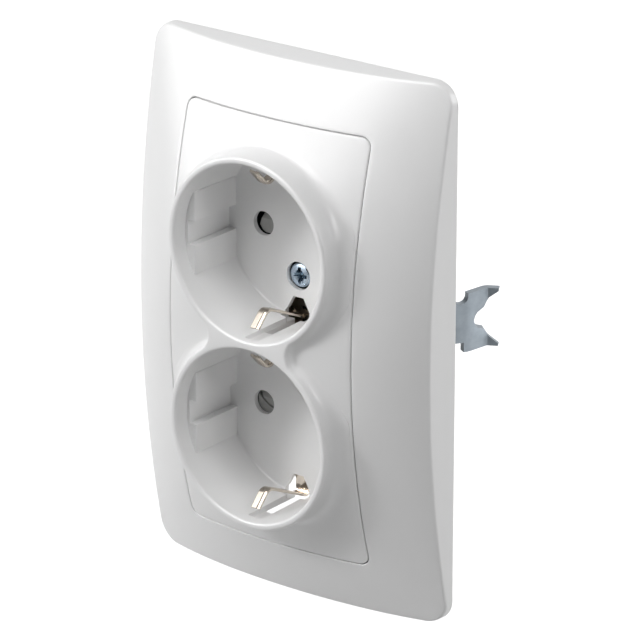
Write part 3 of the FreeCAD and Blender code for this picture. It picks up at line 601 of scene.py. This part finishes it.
def shade_painted_drive(material):
    """Paint shade into the plate screw's drive: darker below the head's face, near its axis."""
    tree = material.node_tree
    shader = tree.nodes["Principled BSDF"]
    place = add_node(tree, "ShaderNodeTexCoord").outputs["Object"]
    apart = add_node(tree, "ShaderNodeSeparateXYZ", Vector=place).outputs
    depth = add_node(tree, "ShaderNodeMapRange", Value=apart["Y"], From_Min=(DRIVE_SHADE_FROM - HEAD_FRONT) * MM,
                     From_Max=(DRIVE_SHADE_FULL - HEAD_FRONT) * MM)
    level = add_node(tree, "ShaderNodeCombineXYZ", X=apart["X"], Z=apart["Z"]).outputs["Vector"]
    away = add_node(tree, "ShaderNodeVectorMath", {"operation": "DISTANCE"}, level, (0, 0, SCREW_Z * MM))
    within = add_node(tree, "ShaderNodeMath", {"operation": "LESS_THAN"}, away.outputs["Value"],
                      DRIVE_SHADE_RADIUS * MM)
    # How much painted shade darkens the colour here
    painted_shade = add_node(tree, "ShaderNodeMath", {"operation": "MULTIPLY"}, result(depth), result(within))
    plain = shader.inputs["Base Color"].links[0].from_socket
    connect(tree, shader, Base_Color=result(add_node(
        tree, "ShaderNodeMix", {"data_type": "RGBA"}, Factor=result(painted_shade), A=plain, B=linear("#5A6B78"))))
    return material


def finish(name):
    """The material of that name, made once."""
    colours = bpy.context.scene.socket_finishes
    makers = {
        "polycarbonate moulded white": lambda: moulded_white(name, colours.white),
        # Black and grey polyamide: the base and cover swallow the light; the shutters are drawn a soft mid
        # grey, darker than their white-grey plastic, as painted shade for the shadow on them behind the pin
        # holes
        "polyamide moulded black": lambda: moulded_dark(name, "#17181A", 0.55),
        "polyamide grey with painted shade": lambda: moulded_dark(name, "#9A9A98", 0.45),
        # Zinc is a cool satin grey on stamped steel, and bright and cold where screws are passivated blue
        "steel zinc plated": lambda: worked_metal(name, colours.zinc, 0.42),
        "screw steel blue zinc plated": lambda: worked_metal(name, "#B4C3D2", 0.24, 0.25, 1.0),
        # The same screw steel, with painted shade darkening its cross recess
        "screw steel with painted shade in drive": lambda: shade_painted_drive(worked_metal(name, "#B4C3D2", 0.22, 0.6, 1.0)),
        # Nickel on brass spring strip: bright, faintly warm, with sharp reflections
        "brass nickel plated": lambda: worked_metal(name, colours.nickel, 0.16, 0.3),
        # Bare rolled strip: warm yellow brass, and neutral grey spring steel
        "brass rolled": lambda: worked_metal(name, "#C9A25E", 0.3),
        "spring steel rolled": lambda: worked_metal(name, "#9DA0A3", 0.32),
    }
    return bpy.data.materials.get(name) or makers[name]()


def carry_over(nodes, name):
    """Give CAD nodes that stay as they are their material."""
    for node in nodes:
        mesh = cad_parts[node].data
        mesh.materials.clear()
        mesh.materials.append(finish(name))


# The pieces

class SOCKET_OT_cover_frame(bpy.types.Operator):
    """Crowned outer frame with its rounded edges and the step for the centre plate"""

    bl_idname = "socket.cover_frame"
    bl_label = "Cover frame"

    def column(self, index, sizes):
        """One column round the shell: ledge, gap, crowned face, front edge, side, foot and inside."""
        open_x, open_z = PLATE_HALF_X + PLATE_GAP, PLATE_HALF_Z + PLATE_GAP
        corner = PLATE_CORNER + PLATE_GAP
        back = Vector((0, 1, 0))

        def inner(grow):
            return rectangle(open_x + grow, open_z + grow, corner + grow, index)

        def outer(inset, height):
            shrink = inset + DRAFT * height
            corner_left = max(FRAME_CORNER - shrink, 0.6)
            return rectangle(FRAME_HALF_X - shrink, FRAME_HALF_Z - shrink, corner_left, index)

        def settled(inset, lift):
            """Where the inset side meets the crowned face moved back by lift."""
            height = 0.0
            for _ in range(SETTLE):
                spot, out = outer(inset, height)
                height = crown(spot.x, spot.z) - lift
            return spot, out

        ledge, _ = inner(-STEP_WIDTH)
        wall, out = inner(0)
        points = [on_crown(ledge.x, ledge.z, STEP_DEPTH + STEP_THICKNESS)]
        points += [on_crown(ledge.x, ledge.z, STEP_DEPTH), on_crown(wall.x, wall.z, STEP_DEPTH)]
        edge = on_crown(wall.x, wall.z)
        rim = rounded(edge, -back, along_crown(edge, out), sizes.gap_round, 4)
        spot, out = settled(0, 0)
        side = (back + out * DRAFT).normalized()
        edge = on_crown(spot.x, spot.z)
        turn = rounded(edge, along_crown(edge, out), side, sizes.edge_round, 8)
        points += rim + over_crown(rim[-1], turn[0], [k / 16 for k in range(1, 16)]) + turn
        foot, out = outer(0, 0)
        points += [turn[-1].lerp(foot, share) for share in (0.3, 0.6, 0.9)]
        points += rounded(foot, side, -out, FOOT_ROUND, 3)
        inside, _ = outer(FRAME_WALL, 0)
        spot, _ = settled(FRAME_WALL, SHELL)
        top = on_crown(spot.x, spot.z, SHELL)
        points += [inside, inside.lerp(top, 0.5), top]
        step, _ = inner(STEP_WIDTH)
        points += over_crown(top, step, [k / 8 for k in range(1, 9)], SHELL)
        points.append(on_crown(step.x, step.z, STEP_DEPTH + STEP_THICKNESS))
        return points + [points[0]]

    def rib(self, ends, across):
        """One stiffening rib under the crowned face, between two (x, z) ends."""
        rows = 12
        half = RIB_THICKNESS / 2
        columns = []
        for side, deep in ((1, True), (1, False), (-1, False), (-1, True)):
            column = []
            for k in range(rows + 1):
                x = ends[0][0] + (ends[1][0] - ends[0][0]) * k / rows + side * half * across[0]
                z = ends[0][1] + (ends[1][1] - ends[0][1]) * k / rows + side * half * across[1]
                column.append(Vector((x, -RIB_BACK, z)) if deep else on_crown(x, z, SHELL / 2))
            columns.append(column)
        rib = laid("rib", columns)
        in_edit_mode(rib, close_ends, outwards)
        return rib

    def execute(self, context):
        sizes = context.scene.socket_mouldings
        shell = laid("frame_shell", [self.column(i, sizes) for i in range(FRAME_COLUMNS)])
        in_edit_mode(shell, outwards)
        gap, into_wall = PLATE_GAP + RIB_PLATE_GAP, 0.4
        ends_x = (PLATE_HALF_X + gap, FRAME_HALF_X - FRAME_WALL + into_wall)
        ends_z = (PLATE_HALF_Z + gap, FRAME_HALF_Z - FRAME_WALL + into_wall)
        ribs = []
        for way in (1, -1):
            for side in (1, -1):
                ribs += [self.rib([(side * x, way * z) for x in ends_x], (0, 1)) for z in RIB_ROWS_Z]
                ribs += [self.rib([(side * x, way * z) for z in ends_z], (1, 0)) for x in RIB_ROWS_X]
        cut_with(shell, joined("ribs", ribs), "UNION")
        done(shell, finish("polycarbonate moulded white"), ["cover_frame"])
        return {"FINISHED"}


class SOCKET_OT_centre_plate(bpy.types.Operator):
    """Centre plate with its collar, both wells, guide ribs, slots and holes"""

    bl_idname = "socket.centre_plate"
    bl_label = "Centre plate"

    def rays(self):
        """Directions from the middle, closer together where the plate's corners lie."""
        corner = math.atan2(PLATE_HALF_Z, PLATE_HALF_X)
        quarter = [math.pi / 2 * k / 84 for k in range(84)]
        quarter += [corner + math.radians(0.35) * (k - 7.5) for k in range(16)]
        quarter = sorted(quarter)
        angles = quarter + [math.pi - a for a in reversed(quarter) if a > 0] + [math.pi / 2]
        half = sorted(set(angles))
        return half + [a + math.pi for a in half]

    def collar_at(self, angle):
        """Point and outward direction of the collar's rim outline on a ray from the middle."""
        ray = Vector((math.cos(angle), 0, math.sin(angle)))
        sx, sz = (1 if ray.x >= 0 else -1), (1 if ray.z >= 0 else -1)
        waist_x = math.sqrt((RIM_RADIUS + WAIST_ROUND) ** 2 - WELL_Z ** 2)
        share = RIM_RADIUS / (RIM_RADIUS + WAIST_ROUND)
        touch = math.atan2(WELL_Z * (1 - share), waist_x * share)
        if math.atan2(abs(ray.z), abs(ray.x)) >= touch:
            centre = Vector((0, 0, sz * WELL_Z))
            along = ray.dot(centre)
            point = ray * (along + math.sqrt(along ** 2 - centre.length_squared + RIM_RADIUS ** 2))
            return point, (point - centre).normalized()
        centre = Vector((sx * waist_x, 0, 0))
        along = ray.dot(centre)
        point = ray * (along - math.sqrt(along ** 2 - centre.length_squared + WAIST_ROUND ** 2))
        return point, (centre - point).normalized()

    def edge_at(self, angle, half_x, half_z, radius):
        """Point and outward direction of a rounded rectangle on a ray from the middle."""
        ray = Vector((math.cos(angle), 0, math.sin(angle)))
        x, z = abs(ray.x), abs(ray.z)
        reach = min(half_x / max(x, 1e-9), half_z / max(z, 1e-9))
        corner = Vector((half_x - radius, 0, half_z - radius))
        if x * reach > corner.x and z * reach > corner.z:
            along = x * corner.x + z * corner.z
            reach = along + math.sqrt(along ** 2 - corner.length_squared + radius ** 2)
            out = Vector((x * reach - corner.x, 0, z * reach - corner.z)).normalized()
        else:
            beside = half_x / max(x, 1e-9) < half_z / max(z, 1e-9)
            out = Vector((1, 0, 0)) if beside else Vector((0, 0, 1))
        out = Vector((math.copysign(out.x, ray.x), 0, math.copysign(out.z, ray.z)))
        return ray * reach, out

    def skin_column(self, angle, sizes):
        """One column from the flat rim over the collar, the flare and the plate to the back of the floor."""
        back = Vector((0, 1, 0))
        spot, out = self.collar_at(angle)
        side = (back + out * DRAFT).normalized()
        rim = spot + Vector((0, -RIM_FRONT, 0))
        points = rounded(rim, out, side, RIM_ROUND, 6)
        foot = rim.copy()
        for _ in range(SETTLE):
            foot = rim + side * ((RIM_FRONT - crown(foot.x, foot.z)) / side.y)
        away = along_crown(foot, out)
        turn = side.angle(away)
        sideways = abs(out.x) if abs(spot.z) > 3 else 1.0
        radius = sizes.flare_end + (sizes.flare_side - sizes.flare_end) * sideways ** 1.6
        room = (foot - points[-1]).length * 0.97
        limit = (PLATE_HALF_X - sizes.gap_round - 0.25 - abs(foot.x)) / max(abs(away.x), 0.05)
        radius = min(radius, room / math.tan(turn / 2), max(limit, 0.3) / math.tan(turn / 2))
        flare = rounded(foot, side, away, radius, 10)
        points.append(points[-1].lerp(flare[0], 0.5))
        points += flare
        heading = math.atan2(flare[-1].z, flare[-1].x)
        edge, edge_out = self.edge_at(heading, PLATE_HALF_X, PLATE_HALF_Z, PLATE_CORNER)
        brink = on_crown(edge.x, edge.z)
        turn = rounded(brink, along_crown(brink, edge_out), back, sizes.gap_round, 4)
        points += over_crown(flare[-1], turn[0], [k / 12 for k in range(1, 12)]) + turn
        points.append(on_crown(edge.x, edge.z, STEP_DEPTH - 0.05))
        inner, _ = self.edge_at(heading, PLATE_HALF_X - SKIRT, PLATE_HALF_Z - SKIRT, SKIRT_CORNER)
        points += [on_crown(inner.x, inner.z, STEP_DEPTH - 0.05), on_crown(inner.x, inner.z, SHELL)]
        root = spot - out * 0.25
        points += over_crown(inner, root, [k / 4 for k in range(1, 5)], SHELL)
        return points + [root + Vector((0, -FLOOR_BACK, 0))]

    def well_column(self, angle, z):
        """One column from the flat rim over the mouth and down the wall to the floor."""
        out = Vector((math.cos(angle), 0, math.sin(angle)))
        mouth = Vector((0, -RIM_FRONT, z)) + out * MOUTH_RADIUS
        floor = Vector((0, -FLOOR_FRONT, z)) + out * FLOOR_RADIUS
        down = (floor - mouth).normalized()
        points = rounded(mouth, -out, down, RIM_ROUND, 6)
        root = rounded(floor, down, -out, FLOOR_ROUND, 4)
        points += [points[-1].lerp(root[0], k / 6) for k in range(1, 6)]
        return points + root

    def clip_slot(self, z, way):
        """Tools for the slot of one earth clip in the wall and the floor; way is +1 above the well axis."""
        tools = []
        front, groove, opening = OUTER_SLOT if way * z > 0 else INNER_SLOT
        for reach, y0, y1 in ((groove, -front, GROOVE_BACK), (opening, *OPENING_Y)):
            near, far = sorted((z + way * SLOT_FROM, z + way * reach))
            tools.append(block((-SLOT_HALF, y0, near), (SLOT_HALF, y1, far), SLOT_ROUND))
        corners = [[Vector((x, y, z + way * reach)) for y in FLOOR_SLOT_Y] for x, reach in FLOOR_SLOT]
        tools.append(laid("floor_slot", corners))
        for y in FLOOR_SLOT_Y:
            on_edges(tools[-1], bpy.ops.mesh.edge_face_add, in_plane(y))
        return tools

    def rib(self, side, z):
        """One grooved guide rib."""
        x0, x1 = sorted((side * RIB_FACE_X, side * RIB_END_X))
        rib = block((x0, -RIB_FRONT, z - RIB_HALF), (x1, -FLOOR_FRONT + 0.8, z + RIB_HALF), RIB_ROUND)
        x0, x1 = sorted((side * 15.0, side * RIB_GROOVE_X))
        cut_with(rib, block((x0, -RIM_FRONT, z - RIB_GROOVE_HALF),
                            (x1, -FLOOR_FRONT - 0.01, z + RIB_GROOVE_HALF)))
        cut_with(rib, bar(FLOOR_RADIUS + 0.45, -RIB_FRONT - 2, 2, 0, z, 160), "INTERSECT")
        return rib

    def execute(self, context):
        sizes = context.scene.socket_mouldings
        skin = laid("plate_skin", [self.skin_column(a, sizes) for a in self.rays()])
        wells, rows = [], (WELL_Z, -WELL_Z)
        for z in rows:
            turns = [2 * math.pi * k / WELL_COLUMNS for k in range(WELL_COLUMNS)]
            wells.append(laid("well", [self.well_column(angle, z) for angle in turns]))
        plate = joined("plate_body", [skin] + wells)
        on_edges(plate, lambda: bpy.ops.mesh.fill(use_beauty=True), in_plane(-RIM_FRONT))
        on_edges(plate, bpy.ops.mesh.edge_face_add, in_plane(-FLOOR_BACK))
        for z in rows:
            on_edges(plate, bpy.ops.mesh.edge_face_add, in_plane(-FLOOR_FRONT, z))
        in_edit_mode(plate, outwards)
        tools = []
        for z in rows:
            tools += self.clip_slot(z, 1) + self.clip_slot(z, -1)
            tools += [bar(PIN_HOLE, -6, 2, x, z, 48) for x in (PIN_X, -PIN_X)]
        tools.append(bar(RECESS_RADIUS, -6, -HEAD_SEAT, 0, SCREW_Z, 64))
        for tool in tools:
            cut_with(plate, tool)
        for z in rows:
            for side in (1, -1):
                cut_with(plate, self.rib(side, z), "UNION")
        done(plate, finish("polycarbonate moulded white"), ["centre_plate"])
        return {"FINISHED"}


class SOCKET_OT_earth_clips(bpy.types.Operator):
    """Earth bar and inner clips with folded, round-edged contact strips"""

    bl_idname = "socket.earth_clips"
    bl_label = "Earth clips"

    def section(self, half, fold):
        """Points across a strip as (across, out of the face): two leaning facets and the line pressed between
        them, with round edges."""
        ridge, thick, edge = CLIP_RIDGE * half / CLIP_HALF, CLIP_THICKNESS / 2, CLIP_EDGE

        def height(x):
            lean = CLIP_LEAN_LEFT * (ridge - x) if x < ridge else CLIP_LEAN_RIGHT * (x - ridge)
            return -fold * (lean + max(0.0, CLIP_LINE_DEPTH - CLIP_LINE_SLOPE * abs(x - ridge)))

        def edge_round(side):
            turns = ((0.03, thick - 0.05), (0, thick - edge), (0, edge - thick), (0.03, 0.05 - thick))
            return [(side * (half - inset), height(side * half) + side * lift) for inset, lift in turns]

        near_line = [ridge + apart for apart in (-0.17, -0.14, -0.02, 0.02, 0.14, 0.17)]
        across = [edge - half, edge - half + 0.06, (ridge - half) / 2, *near_line,
                  half - edge - 0.06, half - edge]
        face = [(x, height(x) + thick) for x in across]
        back = [(x, height(x) - thick) for x in reversed(across)]
        return face + edge_round(1) + back + edge_round(-1)

    def strip(self, path, z, way):
        """One contact strip; way is +1 above the well axis, -1 below."""
        middle = [p for p in along(path) if p.y < CLIP_CUT - 0.3]
        before, last = middle[-1], Vector((0, path[-1][1], path[-1][0]))
        share = (CLIP_CUT + 0.2 - before.y) / (last.y - before.y)
        middle.append(before.lerp(last, share))
        rows = []
        for k, point in enumerate(middle):
            run = (middle[min(k + 1, len(middle) - 1)] - middle[max(k - 1, 0)]).normalized()
            out = Vector((0, run.z, -run.y))
            wide = (point.y - CLIP_NARROW_FROM) / (CLIP_WIDE_FROM - CLIP_NARROW_FROM)
            half = CLIP_HALF + (CLIP_ROOT_HALF - CLIP_HALF) * max(0, min(1, wide)) * (path is OUTER_CLIP)
            fold = max(0.0, min(1.0, (CLIP_WIDE_FROM - point.y) / 3.0))
            end = k == len(middle) - 1
            row = []
            for across, lift in self.section(half - 0.01 * end, fold):
                spot = point + out * lift
                row.append(Vector((across, spot.y, z + way * spot.z)))
            rows.append(row)
        strip = laid("strip", [[row[i] for row in rows] for i in range(len(rows[0]))])
        in_edit_mode(strip, close_ends, outwards)
        return strip

    def root(self, node, name):
        """A copy of a CAD node without its strips in front of the cut."""
        piece = copy_of(node, name, lambda: bpy.ops.mesh.bisect(
            plane_co=(0, CLIP_CUT * MM, 0), plane_no=(0, 1, 0), use_fill=True, clear_inner=True))
        in_edit_mode(piece, level_faces)
        return piece

    def execute(self, context):
        earth_bar = self.root("earth_bar", "earth_bar_pressed")
        spring = self.root("inner_earth_clips", "inner_clips_pressed")
        for way in (1, -1):
            cut_with(earth_bar, self.strip(OUTER_CLIP, way * WELL_Z, way), "UNION")
            cut_with(spring, self.strip(INNER_CLIP, way * WELL_Z, -way), "UNION")
        for piece, node in ((earth_bar, "earth_bar"), (spring, "inner_earth_clips")):
            done(piece, finish("brass nickel plated"), [node], sharp=28)
        return {"FINISHED"}


class SOCKET_OT_plate_screw(bpy.types.Operator):
    """Fixing screw with a domed head, a cross recess and a dimple"""

    bl_idname = "socket.plate_screw"
    bl_label = "Plate screw"

    def turned(self, profile, sides=64):
        """A round piece about the screw's axis from (radius, y) points."""
        columns = []
        for k in range(sides):
            angle = 2 * math.pi * k / sides
            cos, sin = math.cos(angle), math.sin(angle)
            columns.append([Vector((r * cos, y, SCREW_Z + r * sin)) for r, y in profile])
        piece = laid("plate_screw_turned", columns)
        in_edit_mode(piece, outwards)
        return piece

    def recess(self):
        """Tool for the cross recess: two tapered arms with round ends and a cone where they meet."""
        front, deep = -HEAD_FRONT - 0.4, -HEAD_FRONT + DRIVE_DEPTH
        tools = []
        for turn in (0, 1):
            columns = []
            for sx, sz in ((1, 1), (-1, 1), (-1, -1), (1, -1)):
                column = []
                for y, (keep_x, keep_z) in zip((front, deep), DRIVE_TAPER):
                    x, z = sx * DRIVE_SLOT / 2 * keep_x, sz * DRIVE_RADIUS * keep_z
                    column.append(Vector((z, y, SCREW_Z + x) if turn else (x, y, SCREW_Z + z)))
                columns.append(column)
            arm = laid("arm", columns)
            in_edit_mode(arm, close_ends, outwards, lambda: round_edges(DRIVE_ROUND, 2))
            tools.append(arm)
        wide, tip = DRIVE_CONE
        return tools + [self.turned([(0, front), (wide, front), (tip, deep), (0, deep)], 32)]

    def execute(self, context):
        flat = HEAD_RADIUS - HEAD_ROUND
        dome = [flat * k / 6 for k in range(7)]
        profile = [(r, -HEAD_FRONT + HEAD_DOME * (r / HEAD_RADIUS) ** 2) for r in dome]
        brim = profile[-1][1]
        for k in range(1, 6):
            angle = math.pi / 2 * k / 5
            profile.append((flat + HEAD_ROUND * math.sin(angle), brim + HEAD_ROUND * (1 - math.cos(angle))))
        profile += [(HEAD_RADIUS, -HEAD_SEAT), (SHANK_RADIUS, -HEAD_SEAT), (SHANK_RADIUS, SHANK_END),
                    (SHANK_RADIUS * 0.6, SHANK_END + 0.8), (0, SHANK_END + 0.8)]
        screw = self.turned(profile)
        for tool in self.recess():
            cut_with(screw, tool)
        cut_with(screw, bar(DIMPLE_RADIUS, -HEAD_FRONT - 0.5, -HEAD_FRONT + 0.3, DIMPLE[0],
                            SCREW_Z + DIMPLE[1], 32, 0.1))
        ease(screw, 0.07, 40)
        # The drive's material paints shade into the cross recess
        done(screw, finish("screw steel with painted shade in drive"), ["plate_screw"], sharp=30)
        return {"FINISHED"}


class SOCKET_OT_metalwork(bpy.types.Operator):
    """Strap, claws and claw screws with eased edges"""

    bl_idname = "socket.metalwork"
    bl_label = "Metalwork"

    def execute(self, context):
        steel, screw = finish("steel zinc plated"), finish("screw steel blue zinc plated")
        done_eased("mounting_strap", 0.14, steel)
        for side in ("left", "right"):
            done_eased("claw_" + side, 0.16, steel, "claw_" + side)
            done_eased("claw_screw_" + side, 0.12, screw, "claw_screw_" + side)
        return {"FINISHED"}


class SOCKET_OT_inner_mouldings(bpy.types.Operator):
    """Socket base, rear cover and shutters with eased edges"""

    bl_idname = "socket.inner_mouldings"
    bl_label = "Inner mouldings"

    def execute(self, context):
        black, grey = finish("polyamide moulded black"), finish("polyamide grey with painted shade")
        done_eased("socket_base", 0.15, black)
        done_eased("rear_cover", 0.2, black)
        for row in ("upper", "lower"):
            # The shutters' mid grey is painted shade over white-grey plastic
            done_eased("shutter_" + row, 0.12, grey, "shutter_" + row)
        return {"FINISHED"}


class SOCKET_OT_inside_parts(bpy.types.Operator):
    """Finishes of the parts that keep their CAD form"""

    bl_idname = "socket.inside_parts"
    bl_label = "Inside parts"

    def execute(self, context):
        carry_over(["mounting_strap", "plate_nut", "base_rivets", "claw_left", "claw_right"],
                   "steel zinc plated")
        carry_over(["plate_screw", "claw_screw_left", "claw_screw_right"], "screw steel blue zinc plated")
        carry_over(["socket_base", "rear_cover"], "polyamide moulded black")
        # The shutters' mid grey is painted shade over white-grey plastic
        carry_over(["shutter_upper", "shutter_lower"], "polyamide grey with painted shade")
        carry_over(["earth_bar", "inner_earth_clips", "clip_rivets"], "brass nickel plated")
        carry_over(["contact_rail_left", "contact_rail_right"], "brass rolled")
        carry_over(["terminal_spring_left", "terminal_spring_right", "terminal_spring_earth",
                    "shutter_spring_upper", "shutter_spring_lower"], "spring steel rolled")
        carry_over(["cover_frame", "centre_plate"], "polycarbonate moulded white")
        return {"FINISHED"}


class SOCKET_OT_stage(bpy.types.Operator):
    """Floor, soft lights and the camera at the photograph's angle"""

    bl_idname = "socket.stage"
    bl_label = "Stage"

    def light(self, name, way, distance, size, power, matt):
        """A round soft light that faces the object; matt tells whether matt surfaces catch it."""
        lamp = bpy.data.lights.new(name, "AREA")
        lamp.shape, lamp.size, lamp.energy = "DISK", size, power
        holder = bpy.data.objects.new(name, lamp)
        bpy.context.scene.collection.objects.link(holder)
        holder.location = Vector(way).normalized() * distance
        holder.rotation_euler = Vector(way).to_track_quat("Z", "Y").to_euler()
        holder.visible_camera = False
        holder.visible_diffuse = matt

    def glow(self, tree, place, low, high):
        """Lit paper as reflections see it, from none at low to full at high along Y; white to the camera."""
        along_y = add_node(tree, "ShaderNodeSeparateXYZ", Vector=place).outputs["Y"]
        share = add_node(tree, "ShaderNodeMapRange", {"interpolation_type": "SMOOTHSTEP"}, Value=along_y,
                         From_Min=low, From_Max=high)
        seen = add_node(tree, "ShaderNodeLightPath").outputs
        shine = add_node(tree, "ShaderNodeMath", {"operation": "MULTIPLY"}, share.outputs["Result"],
                         seen["Is Glossy Ray"])
        return result(add_node(tree, "ShaderNodeMath", {"operation": "ADD"}, result(shine),
                               seen["Is Camera Ray"]))

    def paper(self):
        """The floor and the air behind it: matt white paper, bright behind the object and dim in front."""
        material, tree, shader, in_mm = new_material("paper backdrop lit white")
        connect(tree, shader, Base_Color=linear("#A8A8A8"), Roughness=0.9, Emission_Color=linear("#FFFFFF"),
                Emission_Strength=self.glow(tree, in_mm, *PAPER_GLOW))
        world = bpy.data.worlds.new("studio")
        world.use_nodes = True
        tree = world.node_tree
        way = add_node(tree, "ShaderNodeTexCoord").outputs["Generated"]
        connect(tree, tree.nodes["Background"], Color=(1, 1, 1, 1), Strength=self.glow(tree, way, *AIR_GLOW))
        bpy.context.scene.world = world
        return material

    def execute(self, context):
        deselect()
        bpy.ops.mesh.primitive_plane_add(size=6, location=(0, 0, CAD_BOX[0].z))
        floor = bpy.context.object
        floor.name = "studio_floor"
        floor.data.materials.append(self.paper())
        context.scene.view_settings.view_transform = "Standard"
        for row in LIGHTS:
            self.light(*row)
        lens = bpy.data.cameras.new("camera")
        lens.lens, lens.sensor_width = CAMERA_LENS, CAMERA_SENSOR
        lens.clip_start, lens.clip_end = 0.05, 20.0
        camera = bpy.data.objects.new("camera", lens)
        context.scene.collection.objects.link(camera)
        back = Vector(CAMERA_BACK).normalized()
        camera.location = CAMERA_PLACE
        roll = Matrix.Rotation(math.radians(CAMERA_ROLL), 3, back)
        camera.rotation_euler = (roll @ (-back).to_track_quat("-Z", "Y").to_matrix()).to_euler()
        context.scene.camera = camera
        return {"FINISHED"}


OPERATORS = (SOCKET_OT_inside_parts, SOCKET_OT_cover_frame, SOCKET_OT_centre_plate, SOCKET_OT_earth_clips,
             SOCKET_OT_plate_screw, SOCKET_OT_metalwork, SOCKET_OT_inner_mouldings, SOCKET_OT_stage)


class SOCKET_PT_panel(bpy.types.Panel):
    """Buttons for each piece in the 3D view's sidebar"""

    bl_idname = "SOCKET_PT_panel"
    bl_label = "Wall socket"
    bl_space_type = "VIEW_3D"
    bl_region_type = "UI"
    bl_category = "Socket"

    def draw(self, context):
        for sizes in (context.scene.socket_mouldings, context.scene.socket_finishes):
            for name in sizes.__annotations__:
                self.layout.prop(sizes, name)
        for operator in OPERATORS:
            self.layout.operator(operator.bl_idname)


CLASSES = (SocketMouldings, SocketFinishes) + OPERATORS + (SOCKET_PT_panel,)


def register():
    for item in CLASSES:
        bpy.utils.register_class(item)
    bpy.types.Scene.socket_mouldings = bpy.props.PointerProperty(type=SocketMouldings)
    bpy.types.Scene.socket_finishes = bpy.props.PointerProperty(type=SocketFinishes)


def unregister():
    del bpy.types.Scene.socket_finishes
    del bpy.types.Scene.socket_mouldings
    for item in reversed(CLASSES):
        bpy.utils.unregister_class(item)


def main():
    register()
    bpy.ops.socket.inside_parts()
    bpy.ops.socket.cover_frame()
    bpy.ops.socket.centre_plate()
    bpy.ops.socket.earth_clips()
    bpy.ops.socket.plate_screw()
    bpy.ops.socket.metalwork()
    bpy.ops.socket.inner_mouldings()
    bpy.ops.socket.stage()


if __name__ == "__main__":
    main()
